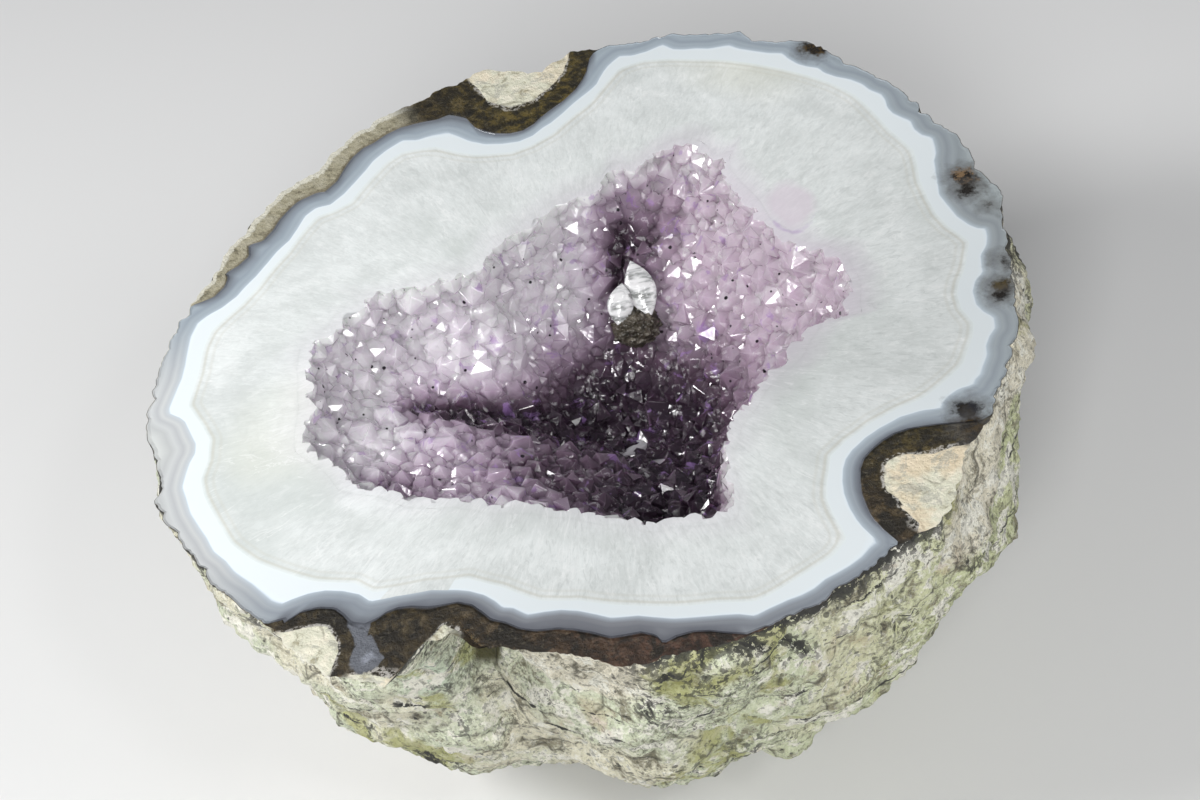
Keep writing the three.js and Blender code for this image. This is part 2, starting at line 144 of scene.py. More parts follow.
# Outer edge of the white band, with its cusps
BAND_OUTER: Points = (
    (68.9, 47.2), (69.5, 48), (69.8, 50.5), (69.8, 53.2), (68, 54.5), (67, 56.5), (66.8, 59), (65.5, 60.3),
    (64, 62), (63.3, 64), (63.4, 66), (63, 68), (61, 70), (60, 72), (58, 74), (55.5, 75.5), (53.5, 77.3),
    (52.7, 79), (50.7, 80), (49, 81.3), (47.5, 83.5), (46.7, 85.4), (44, 86.2), (41, 87.8), (38.5, 89.2),
    (37, 90.7), (33, 90.7), (30.5, 91.5), (28, 91.8), (26, 92.5), (24.3, 94.5), (21, 93.2), (18, 92.7),
    (15.5, 93.3), (14, 92), (12.5, 90.5), (11, 88), (10, 85.8), (8, 84), (5, 81.5), (2.5, 79), (0, 76.8),
    (-1.7, 75.8), (-3.9, 73.9), (-6.7, 72.9), (-10, 73.1), (-13.3, 73.9), (-16.1, 75.6), (-18.3, 77.8),
    (-20, 79.3), (-23.3, 79.2), (-26.1, 78.6), (-28.9, 79.3), (-32.2, 77.2), (-35, 74.7), (-36.7, 72.2),
    (-38.9, 69.4), (-41.1, 66.7), (-43.9, 64.2), (-46.7, 64), (-48.9, 62.2), (-50.6, 58.9), (-52.2, 56.1),
    (-54.7, 53.6), (-56.7, 50.8), (-58.9, 47.8), (-61.4, 45), (-62.8, 43.1), (-65.6, 40.8), (-68.3, 39.4),
    (-70.3, 37.8), (-71.7, 34.4), (-72.3, 31.1), (-72.9, 27.2), (-73.6, 23.9), (-75, 20), (-76.1, 16.7),
    (-76, 15.3), (-74.4, 14.2), (-73.3, 12.8), (-72.5, 10), (-71.5, 6.7), (-71.7, 4.4), (-72.8, 2.2),
    (-73.6, -0.6), (-74.2, -3.3), (-73.6, -6.1), (-72.9, -10), (-71.7, -13), (-70.3, -16.3), (-69.2, -19.7),
    (-67.2, -22.4), (-65.8, -25.2), (-62.8, -28.8), (-61.1, -31.3), (-59.7, -33.3), (-58.1, -34.4),
    (-56.1, -33.6), (-53.3, -33), (-50.6, -33), (-47.8, -33.8), (-45, -35.2), (-43.3, -37.2), (-39, -37),
    (-33, -37), (-28.9, -38), (-26.7, -38.8), (-24.4, -40.2), (-22.8, -41.9), (-21.7, -43.6), (-20, -44.1),
    (-17.8, -46.1), (-15, -46.1), (-12.2, -46.3), (-9.4, -47.2), (-6.7, -48.6), (-4.4, -49.9), (0, -50.4),
    (3.3, -51.6), (5.6, -52.4), (10, -53), (13.3, -53.4), (16.1, -53.8), (18.6, -54.8), (21.1, -53.8),
    (24.4, -52.7), (26.7, -52.2), (28.9, -51.3), (31.1, -49.7), (33.3, -48.8), (35.6, -47.7), (37.8, -46.3),
    (39.4, -44.7), (41.1, -43.6), (39.7, -41.3), (38.6, -38.6), (37.8, -35.2), (37.5, -31.9), (37.7, -29.1),
    (38.3, -26.3), (39.2, -24.1), (40.6, -22.3), (43.3, -20), (46, -18.4), (50, -16.6), (54, -16),
    (57.2, -16.3), (57.8, -14.9), (58.9, -13.8), (60.6, -12.7), (62.2, -12.2), (63.6, -12.3), (64.4, -10.8),
    (65.4, -10), (66.1, -8.3), (67.5, -5.6), (67.8, -3.3), (68.9, -1.1), (70.3, 0.6), (70.6, 3.3),
    (69.2, 5), (68.3, 7.2), (68.4, 10.6), (69.4, 13.1), (71.2, 15), (71.3, 16.7), (71.7, 19.4),
    (73.3, 21.7), (73.9, 23.9), (74.1, 26.2), (72.8, 26.4), (71.4, 27.8), (69.7, 30.6), (68.6, 34.4),
    (67.8, 37.2), (68.2, 40.6), (68.6, 44.4),
)

# Inner edge of the white band, where the quartz starts
BAND_INNER: Points = (
    (65, 41.7), (65.5, 36.5), (66.1, 32.2), (67.5, 28.3), (69.2, 25.6), (70.3, 23.3), (69.4, 20.6),
    (68.1, 16.7), (66.4, 13.6), (65.4, 10.6), (65.4, 6.7), (66.7, 2.8), (65.9, -0.4), (64.4, -3.3),
    (62.8, -6.7), (58.9, -10), (54.7, -13), (50, -14.4), (45, -16.6), (40, -19.8), (36.7, -22.7),
    (35, -28.6), (34.3, -32), (34.7, -35.8), (36, -41.6), (33.3, -44.7), (27.2, -48), (21.7, -50.8),
    (19.2, -51.6), (13.3, -50.5), (6.7, -49.8), (0, -48.1), (-4.4, -46.8), (-8.9, -44.9), (-15.6, -43.3),
    (-21.1, -39.1), (-26.7, -35.8), (-34, -35.2), (-42.7, -35.2), (-45.6, -32.4), (-52.2, -30.5),
    (-57.2, -27.4), (-62.2, -23.6), (-66.1, -18.6), (-67.6, -14.6), (-68.9, -10.8), (-70.4, -6),
    (-70.8, -2.2), (-69.4, 2), (-68.9, 7.2), (-70.2, 11), (-71.4, 13.9), (-72.5, 16.7), (-71.5, 20.4),
    (-70.4, 24.4), (-69.2, 31.1), (-67.6, 35), (-65, 37.8), (-62, 40.6), (-58.9, 44.4), (-52.8, 52.8),
    (-49.6, 57.8), (-46.7, 61.4), (-43.4, 62.2), (-40, 63.9), (-35, 70.6), (-32.4, 73.6), (-29.4, 75.6),
    (-25.8, 75.8), (-22.8, 75.6), (-18.9, 72.8), (-15.6, 71.2), (-12.8, 70.6), (-8.4, 70), (-4.4, 71.1),
    (0, 73.5), (8, 80.5), (12, 85.8), (15, 89.5), (20, 90.5), (25, 89.6), (30, 88), (35, 86.4), (40, 84),
    (45, 81), (50, 77.5), (54.6, 73.4), (58, 69), (60.5, 63), (62.5, 57), (65.5, 50.5), (65.4, 46),
)

# Edge of the hollow where the saw crossed it
HOLLOW_EDGE: Points = (
    (49, 15), (49.5, 20), (48.3, 25), (46, 29), (42.8, 31), (39.8, 33), (37, 38), (35, 45), (33, 50),
    (31, 55), (30, 58), (33, 60.6), (27.8, 63.9), (24.4, 65.6), (19.4, 64.4), (13.3, 60.6), (10, 62),
    (6.7, 57), (0, 56), (-3, 54), (-8, 49.5), (-15, 46), (-19.4, 39.7), (-31.7, 38.1), (-40.1, 38.6),
    (-40.6, 35), (-45.3, 33.9), (-47.2, 30), (-50, 28.1), (-51.7, 26), (-52.8, 12), (-54, 1), (-50, -5),
    (-47, -11), (-40, -13.5), (-36, -17), (-28, -19.5), (-13, -24), (0, -30), (6, -33), (19, -33),
    (20.5, -18), (24, -10), (29, -4.5), (36, 2), (40.5, 9.3), (48, 10),
)

# Depth of the hollow at places on its floor, the same as the solid's
SOUNDINGS: Sequence[Triple] = (
    (-46, 8, 13), (-44, 20, 16), (-30, 27, 23), (-33, 3, 12), (-20, -6, 11), (-18, 6, 15),
    (-16, 27, 29), (-22, 36, 17), (-5, 2, 18), (-3, 38, 43), (2, 28, 45), (-4, 16, 33),
    (4, -8, 20), (13, -18, 26), (14, 2, 34), (15, 18, 39), (27, 10, 27), (37, 18, 17),
    (26, 30, 31), (33, 38, 16), (22, 48, 20), (16, 57, 13), (7, 47, 33), (-10, 44, 24),
)


def degrees_apart(angles: np.ndarray, middle: float) -> np.ndarray:
    """Angles in radians as signed degrees from a middle in degrees."""
    return (np.degrees(angles) - middle + 540.0) % 360.0 - 180.0


def bell(gap: np.ndarray, spread: float) -> np.ndarray:
    """Bell curve that is 1 where the gap is 0."""
    return np.exp(-((gap / spread) ** 2))


def on_sawn_face(x: float, y: float) -> Triple:
    """A place on the sawn face, from millimetres at the mark to metres in the row frame."""
    return ((x - BOX_MIDDLE[0]) * MM, (y - BOX_MIDDLE[1]) * MM, STONE_HEIGHT * MM)


def lilac_share(angles: np.ndarray) -> np.ndarray:
    """How lilac the quartz is beside the hollow, most at its right end."""
    return 0.12 + 0.4 * bell(degrees_apart(angles, 25.0), 52.0)


def side_shade_at(angles: np.ndarray) -> np.ndarray:
    """Painted shade: how much darker the quartz and the band are made at the right, the near and the far
    side.
    """
    right, near, far = (degrees_apart(angles, middle) for middle in (-8.0, -98.0, 95.0))
    return 0.23 * bell(right, 48.0) + 0.19 * bell(near, 40.0) + 0.10 * bell(far, 38.0)


def smoothstep(low: float, high: float, value: np.ndarray) -> np.ndarray:
    """0 below low, 1 above high, and a smooth rise between them; low above high gives a fall."""
    share = np.clip((value - low) / (high - low), 0.0, 1.0)
    return share * share * (3.0 - 2.0 * share)


def inside_depth(places: np.ndarray, corners: Points) -> np.ndarray:
    """Distance of places on the face from a closed line, less than 0 outside it, in millimetres."""
    first = np.array(corners, float)
    second = np.roll(first, -1, axis=0)
    nearest = np.full(len(places), 9.0)
    crossings = np.zeros(len(places), dtype=int)
    for start, end in zip(first, second):
        along = end - start
        share = np.clip((places - start) @ along / (along @ along), 0.0, 1.0)
        nearest = np.minimum(nearest, np.linalg.norm(places - start - share[:, None] * along, axis=1))
        spans = (start[1] > places[:, 1]) != (end[1] > places[:, 1])
        rise = along[1] if along[1] != 0.0 else 1.0
        crossings += spans & (places[:, 0] < start[0] + (places[:, 1] - start[1]) / rise * along[0])
    return np.where(crossings % 2 == 1, nearest, -nearest)


class Outline:
    """A closed line on the sawn face, read as a distance from RAY_MIDDLE at each angle."""

    STEPS = 2880

    def __init__(self, points: Points, softness: float = 0.35) -> None:
        """Reads the line.

        Args:
            points: the line's corners in millimetres.
            softness: how far its corners are rounded, in degrees round RAY_MIDDLE.
        """
        self.angles = np.arange(self.STEPS) * TURN / self.STEPS
        self.reaches = self._soften(self._read(points), softness)

    def _read(self, points: Points) -> np.ndarray:
        """Distance at each of the even angles, on the straight lines between the corners."""
        away = np.array(points, float) - np.array(RAY_MIDDLE)
        angle = np.arctan2(away[:, 1], away[:, 0])
        order = np.argsort(angle)
        return np.interp(self.angles, angle[order], np.hypot(away[:, 0], away[:, 1])[order], period=TURN)

    def _soften(self, reaches: np.ndarray, softness: float) -> np.ndarray:
        """The distances averaged over a small window."""
        half = max(int(softness / 360.0 * self.STEPS), 1)
        weights = np.hanning(2 * half + 3)[1:-1]
        padded = np.concatenate([reaches[-half:], reaches, reaches[:half]])
        return np.convolve(padded, weights / weights.sum(), "valid")

    def at(self, angles: np.ndarray) -> np.ndarray:
        """Distance from RAY_MIDDLE at angles in radians."""
        return np.interp(angles, self.angles, self.reaches, period=TURN)


class PatchedOutline:
    """An outline that leaves a base line only along some patches, where it lies further in."""

    def __init__(self, base: Outline, patches: dict[str, Points]) -> None:
        """Reads each patch on top of the base line.

        Args:
            base: the outline followed outside the patches.
            patches: corners of each patch, from one end to the other.
        """
        self.angles = base.angles
        self.reaches = base.reaches.copy()
        for points in patches.values():
            self._lay(points)

    def _lay(self, points: Points) -> None:
        """Draws the line in to one patch's corners, over the angles that it spans."""
        away = np.array(points, float) - np.array(RAY_MIDDLE)
        angle = np.unwrap(np.arctan2(away[:, 1], away[:, 0]))
        middle = (angle.min() + angle.max()) / 2.0
        order = np.argsort(angle)
        turned = (self.angles - middle + math.pi) % TURN - math.pi + middle
        inside = (turned > angle.min()) & (turned < angle.max())
        reach = np.interp(turned, angle[order], np.hypot(away[:, 0], away[:, 1])[order])
        self.reaches = np.where(inside, np.minimum(self.reaches, reach), self.reaches)

    def at(self, angles: np.ndarray) -> np.ndarray:
        """Distance from RAY_MIDDLE at angles in radians."""
        return np.interp(angles, self.angles, self.reaches, period=TURN)


@dataclass(frozen=True)
class RindMark:
    """A lump, pit or ledge of the rind: its place, its width and how far it stands out, in millimetres."""

    angle: float
    depth: float
    across: float
    down: float
    out: float


# The marks and ripples of the solid
RIND_MARKS: Sequence[RindMark] = (
    RindMark(-116.5, 5, 4.5, 7, -9), RindMark(-112, 17, 4, 8, -4), RindMark(-122, 5, 4, 6, 2.5),
    RindMark(-80, 33, 5, 4, -3.5), RindMark(-66, 57, 5, 4, 4), RindMark(-38, 9, 9, 7, -2.5),
    RindMark(-98, 26, 12, 9, 2), RindMark(-20, 34, 12, 10, 2.5), RindMark(15, 22, 10, 10, -2.5),
    RindMark(48, 30, 12, 9, 3), RindMark(82, 14, 8, 7, -4), RindMark(108, 36, 13, 12, 3),
    RindMark(140, 20, 9, 8, -3.5), RindMark(170, 40, 12, 11, 3), RindMark(-158, 16, 10, 8, -3),
    RindMark(-140, 52, 12, 10, 2.5),
)
# Groove that runs down from the dimple under the rim: depth, angle and how deep it is cut
GROOVE: Sequence[Triple] = (
    (0, -117.5, 1.5), (3, -118, 5.5), (9, -119.6, 8.5), (14.5, -120.4, 8), (20.6, -120.7, 6),
    (24, -119.8, 5), (30, -117.6, 3.5), (37, -115.6, 2), (45, -114.5, 0),
)
RIPPLES = (((0.11, 0.07, 0.13), 0.4, 0.9), ((-0.17, 0.15, 0.1), 2.1, 0.7), ((0.24, 0.21, -0.26), 4.0, 0.5))


@dataclass
class StoneForm:
    """The stone's shape, shared by all that is built on it, in millimetres from the mark on the face."""

    closing_depth: float = 84.0
    fullness: float = 2.15
    underside_shift: tuple[float, float] = (0.0, 4.0)
    rim_fade: float = 8.0
    bulge_depth: float = 20.0
    bulges: Sequence[Triple] = ((-25, 35, 3.3), (-125, 25, -9.5))
    sounding_reach: float = 8.5
    wall_power: float = 2.6
    rim: Outline = field(default_factory=lambda: Outline(RIM))
    soft_rim: Outline = field(default_factory=lambda: Outline(RIM, 20.0))
    hollow: Outline = field(default_factory=lambda: Outline(HOLLOW_EDGE, 0.6))
    rim_chips: float = 0.75
    hollow_teeth: float = 1.1
    scalloped: float = 47.0

    def __post_init__(self) -> None:
        """Breaks small chips out of the rim, and makes the hollow's edge uneven."""
        turns = self.rim.angles
        chips = self._ragged(turns, 26.0, 0.0, (0.6, 2.1, 4))
        steps = np.abs(np.sin(turns * 21.0 + 2.0 * np.sin(turns * 13.0)))
        scallops = bell(degrees_apart(turns, self.scalloped), 13.0) * steps
        self.rim.reaches = self.rim.reaches + self.rim_chips * np.minimum(chips, 0.35) - scallops
        teeth = self._ragged(self.hollow.angles, 7.0, 4.0, (0.5, 2.0, 1))
        self.hollow.reaches = self.hollow.reaches + self.hollow_teeth * np.clip(teeth, -0.8, 0.8)
        self._straighten_hollow()

    @staticmethod
    def _ragged(turns: np.ndarray, waves: float, lift: float,
                octaves: tuple[float, float, int]) -> np.ndarray:
        """Noise round a closed line: its scale, its lift, and the octaves' fall, step and count."""
        places = [Vector((math.cos(turn) * waves, math.sin(turn) * waves, lift)) for turn in turns]
        return np.array([noise.fractal(place, *octaves) for place in places])

    def _straighten_hollow(self) -> None:
        """Makes the hollow's edge straight between the crust's segments, so that stone and crust meet."""
        step = TURN / CRUST_SEGMENTS
        start = np.floor(self.hollow.angles / step + 1e-9) * step
        before, after = self.hollow.at(start), self.hollow.at(start + step)
        turn = self.hollow.angles - start
        area = before * np.sin(turn) + after * np.sin(step - turn)
        self.hollow.reaches = before * after * math.sin(step) / area

    def rind(self, angles: np.ndarray, depth: float) -> np.ndarray:
        """Points of the outside at some angles and one depth below the face.

        Args:
            angles: angles round RAY_MIDDLE in radians.
            depth: depth in millimetres.

        Returns:
            One point for each angle, in the row frame in millimetres.
        """
        along = depth / self.closing_depth
        share = (1.0 - along ** self.fullness) ** (1.0 / self.fullness)
        swell = depth / self.bulge_depth * math.exp(1.0 - depth / self.bulge_depth) * min(1.0, share * 1.5)
        reach = self.soft_rim.at(angles) * share
        for middle, spread, out in self.bulges:
            reach = reach + out * bell(degrees_apart(angles, middle), spread) * swell
        reach = reach + (self.rim.at(angles) - self.soft_rim.at(angles)) * math.exp(-depth / self.rim_fade)
        points = np.stack([reach * np.cos(angles), reach * np.sin(angles), np.full_like(reach, -depth)],
                          axis=1)
        relief = self._broad_relief(angles, depth, points) + self._fine_relief(points, depth)
        relief -= self.groove(angles, depth)
        points *= (1.0 + relief / np.linalg.norm(points, axis=1))[:, None]
        points += (RAY_MIDDLE[0] + self.underside_shift[0] * along,
                   RAY_MIDDLE[1] + self.underside_shift[1] * along, 0.0)
        return self.placed(points)

    @staticmethod
    def groove(angles: np.ndarray, depth: float | np.ndarray) -> np.ndarray:
        """How deep the groove is cut at some angles and depths, with a sharp crest on its left."""
        downs, middles, cuts = np.array(GROOVE, float).T
        across = degrees_apart(angles - np.radians(np.interp(depth, downs, middles)), 0.0) * 1.08
        profile = np.where(across < 0.0, smoothstep(-0.8, 0.2, across), smoothstep(8.0, 2.0, across))
        return np.interp(depth, downs, cuts, right=0.0) * profile

    def _base_hold(self, depth: float) -> float:
        """Share of the relief that is kept near the seat, which stays flat."""
        return max(min((STONE_HEIGHT - depth) / 6.0, 1.0), 0.0)

    def _broad_relief(self, angles: np.ndarray, depth: float, points: np.ndarray) -> np.ndarray:
        """Height of the solid's own lumps, pits and ripples."""
        relief = np.zeros_like(angles)
        for mark in RIND_MARKS:
            down = math.exp(-(((depth - mark.depth) / mark.down) ** 2))
            relief += mark.out * bell(degrees_apart(angles, mark.angle), mark.across) * down
        ripple = np.zeros_like(angles)
        for waves, phase, height in RIPPLES:
            ripple += height * np.sin(points @ np.array(waves) + phase)
        return (relief * min(depth / 1.5, 1.0) + ripple * min(depth / 5.0, 1.0)) * self._base_hold(depth)

    def _fine_relief(self, points: np.ndarray, depth: float) -> np.ndarray:
        """Height of the rind's crust, cracks and small pits, which the solid leaves out."""
        hold = min(depth / 2.5, 1.0) * self._base_hold(depth)
        if hold <= 0.0:
            return np.zeros(len(points))
        return np.array([self._crust_height(Vector(p)) for p in points]) * hold

    @staticmethod
    def _crust_height(place: Vector) -> float:
        """Height of the crust at one place."""
        lumps = noise.fractal(place * 0.085, 0.8, 2.1, 5) * 1.3
        knobs = (noise.ridged_multi_fractal(place * 0.2, 0.9, 2.2, 4, 1.0, 2.0) - 1.1) * 0.6
        cells = noise.voronoi(place * 0.19 + Vector((3.1, 0.7, 5.2)))[0]
        flakes = min(cells[1] - cells[0], 0.16) / 0.16 * 0.5
        pit_cells = noise.voronoi(place * 0.11 + Vector((8.3, 1.9, 2.4)))[0]
        pit = max(0.0, 1.0 - pit_cells[0] / 0.22) ** 0.7 * -1.6
        sheets = noise.fractal(Vector((place.x * 0.05, place.y * 0.05, place.z * 0.42)), 0.7, 2.1, 4) * 0.7
        return lumps + knobs + flakes + pit + sheets - 0.5

    def sounded_depth(self, x: np.ndarray, y: np.ndarray) -> np.ndarray:
        """Depth of the hollow's floor at places on the face, before its walls draw it up."""
        total = np.zeros(len(x))
        weights = np.zeros(len(x))
        for sx, sy, depth in SOUNDINGS:
            weight = np.exp(-(((x - sx) ** 2 + (y - sy) ** 2) / (2.0 * self.sounding_reach ** 2)))
            total += weight * depth
            weights += weight
        return total / weights

    def hollow_wall(self, angles: np.ndarray, down: np.ndarray | float, inset: float = 0.0) -> np.ndarray:
        """Points of the hollow's wall.

        Args:
            angles: angles round RAY_MIDDLE in radians.
            down: 0 at the face to 1 at the middle of the floor, one number or one for each angle.
            inset: how far the points stand in from the wall, in millimetres.

        Returns:
            One point for each angle, in the row frame in millimetres.
        """
        power = 2.0 / self.wall_power
        turn = np.clip(np.asarray(down, float) * math.pi / 2.0, 0.0, math.pi / 2.0)
        reach = np.maximum(self.hollow.at(angles) - inset, 0.0) * np.maximum(np.cos(turn), 0.0) ** power
        x = RAY_MIDDLE[0] + reach * np.cos(angles)
        y = RAY_MIDDLE[1] + reach * np.sin(angles)
        depth = (self.sounded_depth(x, y) - inset) * np.sin(turn) ** power
        return self.placed(np.stack([x, y, -depth], axis=1))

    @staticmethod
    def placed(points: np.ndarray) -> np.ndarray:
        """Points from the mark on the face, moved to the row frame."""
        return points + np.array([-BOX_MIDDLE[0], -BOX_MIDDLE[1], STONE_HEIGHT])


def deselect_all() -> None:
    """Leaves object mode with nothing selected."""
    if bpy.context.mode != "OBJECT":
        bpy.ops.object.mode_set(mode="OBJECT")
    bpy.ops.object.select_all(action="DESELECT")


def make_active(piece: bpy.types.Object) -> None:
    """Selects one object alone and makes it the active one."""
    deselect_all()
    piece.select_set(True)
    bpy.context.view_layer.objects.active = piece


def ringed_body(name: str, rings: Sequence[np.ndarray], first: np.ndarray,
                last: np.ndarray) -> bpy.types.Object:
    """A closed body through rings of points, shaped from a sphere with as many segments and rings.

    Args:
        name: name of the new object.
        rings: an odd number of rings of points in millimetres, all as long, from the top to the bottom.
        first: the point that closes the top.
        last: the point that closes the bottom.

    Returns:
        The new object, at the origin, with its points in metres.
    """
    segments = len(rings[0])
    deselect_all()
    bpy.ops.mesh.primitive_uv_sphere_add(segments=segments // 2, ring_count=(len(rings) + 1) // 2,
                                         radius=1.0)
    body = bpy.context.object
    body.name = name
    body.data.name = name
    apply_modifier(body, "SUBSURF", subdivision_type="SIMPLE", levels=1)
    places = np.empty(len(body.data.vertices) * 3)
    body.data.vertices.foreach_get("co", places)
    places = places.reshape(-1, 3)
    tilt = np.arctan2(np.hypot(places[:, 0], places[:, 1]), places[:, 2])
    ring = np.rint(tilt / math.pi * (len(rings) + 1)).astype(int)
    spoke = np.rint(np.arctan2(places[:, 1], places[:, 0]) / TURN * segments).astype(int) % segments
    stack = np.concatenate([np.repeat(first[None], segments, axis=0)[None], np.array(rings),
                            np.repeat(last[None], segments, axis=0)[None]])
    body.data.vertices.foreach_set("co", (stack[ring, spoke] * MM).ravel())
    body.data.update()
    return body


def points_of(piece: bpy.types.Object) -> np.ndarray:
    """Places of a mesh's points, in millimetres."""
    places = np.empty(len(piece.data.vertices) * 3)
    piece.data.vertices.foreach_get("co", places)
    return places.reshape(-1, 3) / MM


def add_values(piece: bpy.types.Object, name: str, values: np.ndarray) -> None:
    """Gives a mesh one number, or one vector, for each point under a name that materials read."""
    kind = "FLOAT" if values.ndim == 1 else "FLOAT_VECTOR"
    attribute = piece.data.attributes.new(name, kind, "POINT")
    attribute.data.foreach_set("value" if values.ndim == 1 else "vector", values.astype(np.float32).ravel())


def apply_modifier(piece: bpy.types.Object, kind: str, **settings: object) -> None:
    """Adds one modifier to a piece and applies it."""
    make_active(piece)
    modifier = piece.modifiers.new(kind.title(), kind)
    for setting, value in settings.items():
        setattr(modifier, setting, value)
    bpy.ops.object.modifier_apply(modifier=modifier.name)


def combine(piece: bpy.types.Object, other: bpy.types.Object, operation: str) -> None:
    """Joins, cuts or crosses a piece with another solid, and removes the other."""
    apply_modifier(piece, "BOOLEAN", operation=operation, solver="MANIFOLD", object=other)
    bpy.data.objects.remove(other)


def triangle_count(piece: bpy.types.Object) -> int:
    """Number of triangles in a piece's mesh."""
    return sum(len(face.vertices) - 2 for face in piece.data.polygons)


def settle(piece: bpy.types.Object, node: str) -> None:
    """Rides a finished piece on the stone's body in place of its solid, and reports it."""
    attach(piece, BODY)
    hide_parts(node)
    log.info("%s: %d triangles", piece.name, triangle_count(piece))


class Shades:
    """Builds one material's nodes, a call for each node."""

    def __init__(self, tree: bpy.types.NodeTree) -> None:
        """Starts on a node tree."""
        self.tree = tree

    def node(self, kind: str, inputs: dict[str | int, object] | None = None,
             **settings: object) -> bpy.types.Node:
        """Adds a node.

        Args:
            kind: the node's type name.
            inputs: socket to a value, or to the socket that feeds it.
            settings: properties of the node.

        Returns:
            The new node.
        """
        made = self.tree.nodes.new(kind)
        for setting, value in settings.items():
            setattr(made, setting, value)
        for socket, value in (inputs or {}).items():
            self.feed(made.inputs[socket], value)
        return made

    def feed(self, socket: Socket, value: object) -> None:
        """Links a socket to another one, or sets its value."""
        if isinstance(value, Socket):
            self.tree.links.new(value, socket)
        elif isinstance(value, (tuple, list)) and len(value) == 3 and socket.type == "RGBA":
            socket.default_value = (*value, 1.0)
        else:
            socket.default_value = value

    def attribute(self, name: str, output: str = "Fac") -> Socket:
        """One of the mesh's own values."""
        return self.node("ShaderNodeAttribute", attribute_name=name).outputs[output]

    def place(self) -> Socket:
        """Place on the piece, in metres."""
        return self.node("ShaderNodeTexCoord").outputs["Object"]

    def math(self, operation: str, *values: object, clamp: bool = False) -> Socket:
        """Arithmetic on numbers and sockets."""
        inputs = dict(enumerate(values))
        return self.node("ShaderNodeMath", inputs, operation=operation, use_clamp=clamp).outputs[0]

    def times(self, first: object, second: object, plus: object = None) -> Socket:
        """One number times another, with a third one added where it is given."""
        if plus is None:
            return self.math("MULTIPLY", first, second)
        return self.math("MULTIPLY_ADD", first, second, plus)

    def less(self, first: object, second: object) -> Socket:
        """One number less another."""
        return self.math("SUBTRACT", first, second)

    def vector(self, operation: str, *values: object, output: str = "Vector") -> Socket:
        """Arithmetic on vectors."""
        return self.node("ShaderNodeVectorMath", dict(enumerate(values)),
                         operation=operation).outputs[output]

    def stretched(self, vector: object, scale: Triple) -> Socket:
        """A place with its three parts scaled."""
        return self.node("ShaderNodeMapping", {"Vector": vector, "Scale": scale}).outputs[0]

    def noise(self, vector: object, scale: float, detail: float = 3.0, rough: float = 0.5,
              twist: float = 0.0,
              colour: bool = False) -> Socket:
        """Cloudy noise from 0 to 1."""
        inputs = {"Vector": vector, "Scale": scale, "Detail": detail, "Roughness": rough,
                  "Distortion": twist}
        return self.node("ShaderNodeTexNoise", inputs).outputs["Color" if colour else "Fac"]

    def cells(self, vector: object, scale: float, feature: str = "F1", output: str = "Distance") -> Socket:
        """Cells round scattered points."""
        return self.node("ShaderNodeTexVoronoi", {"Vector": vector, "Scale": scale},
                         feature=feature).outputs[output]

    def step(self, value: object, low: float, high: float, smooth: bool = True) -> Socket:
        """0 below low and 1 above high; low may be the higher one, and then it falls."""
        inputs = {"Value": value, "From Min": low, "From Max": high}
        kind = "SMOOTHSTEP" if smooth and low < high else "LINEAR"
        return self.node("ShaderNodeMapRange", inputs, interpolation_type=kind).outputs["Result"]

    def partly(self, value: object, low: float, high: float, share: object) -> Socket:
        """The same as a step, times a share."""
        return self.times(self.step(value, low, high), share)

    def stain(self, colour: object, other: object, value: object, low: float, high: float,
              share: object) -> Socket:
        """A colour with another one laid over it where a value steps up or down."""
        return self.mix(self.partly(value, low, high, share), colour, other)

    def net(self, place: Socket, bends: float, bend: float, cells: float) -> Socket:
        """Distance from a net of bent lines.

        Args:
            place: place on the piece.
            bends: scale of the noise that bends the lines.
            bend: how far it moves them, in metres.
            cells: scale of the net.

        Returns:
            The distance.
        """
        bent = self.vector("MULTIPLY", self.noise(place, bends, 3.0, colour=True), (bend, bend, bend))
        return self.cells(self.vector("ADD", place, bent), cells, "DISTANCE_TO_EDGE")

    def mix(self, share: object, first: object, second: object, blend: str = "MIX") -> Socket:
        """Two colours mixed."""
        made = self.node("ShaderNodeMix", data_type="RGBA", blend_type=blend)
        self.feed(made.inputs[0], share)
        self.feed(made.inputs[6], first)
        self.feed(made.inputs[7], second)
        return made.outputs[2]

    def ramp(self, value: object, stops: Sequence[tuple[float, Triple]]) -> Socket:
        """Colours along a number from 0 to 1."""
        made = self.node("ShaderNodeValToRGB", {"Fac": value})
        elements = made.color_ramp.elements
        while len(elements) > 1:
            elements.remove(elements[-1])
        elements[0].position, elements[0].color = stops[0][0], (*stops[0][1], 1.0)
        for position, colour in stops[1:]:
            elements.new(position).color = (*colour, 1.0)
        return made.outputs["Color"]

    def bump(self, height: object, strength: float, distance: float,
             normal: object | None = None) -> Socket:
        """Normal of a surface with this height on it."""
        inputs = {"Height": height, "Strength": strength, "Distance": distance}
        if normal is not None:
            inputs["Normal"] = normal
        return self.node("ShaderNodeBump", inputs).outputs["Normal"]


def new_material(name: str) -> tuple[bpy.types.Material, Shades, bpy.types.Node]:
    """A material with its node builder and its shader."""
    material = bpy.data.materials.new(name)
    material.use_nodes = True
    shader = material.node_tree.nodes["Principled BSDF"]
    return material, Shades(material.node_tree), shader


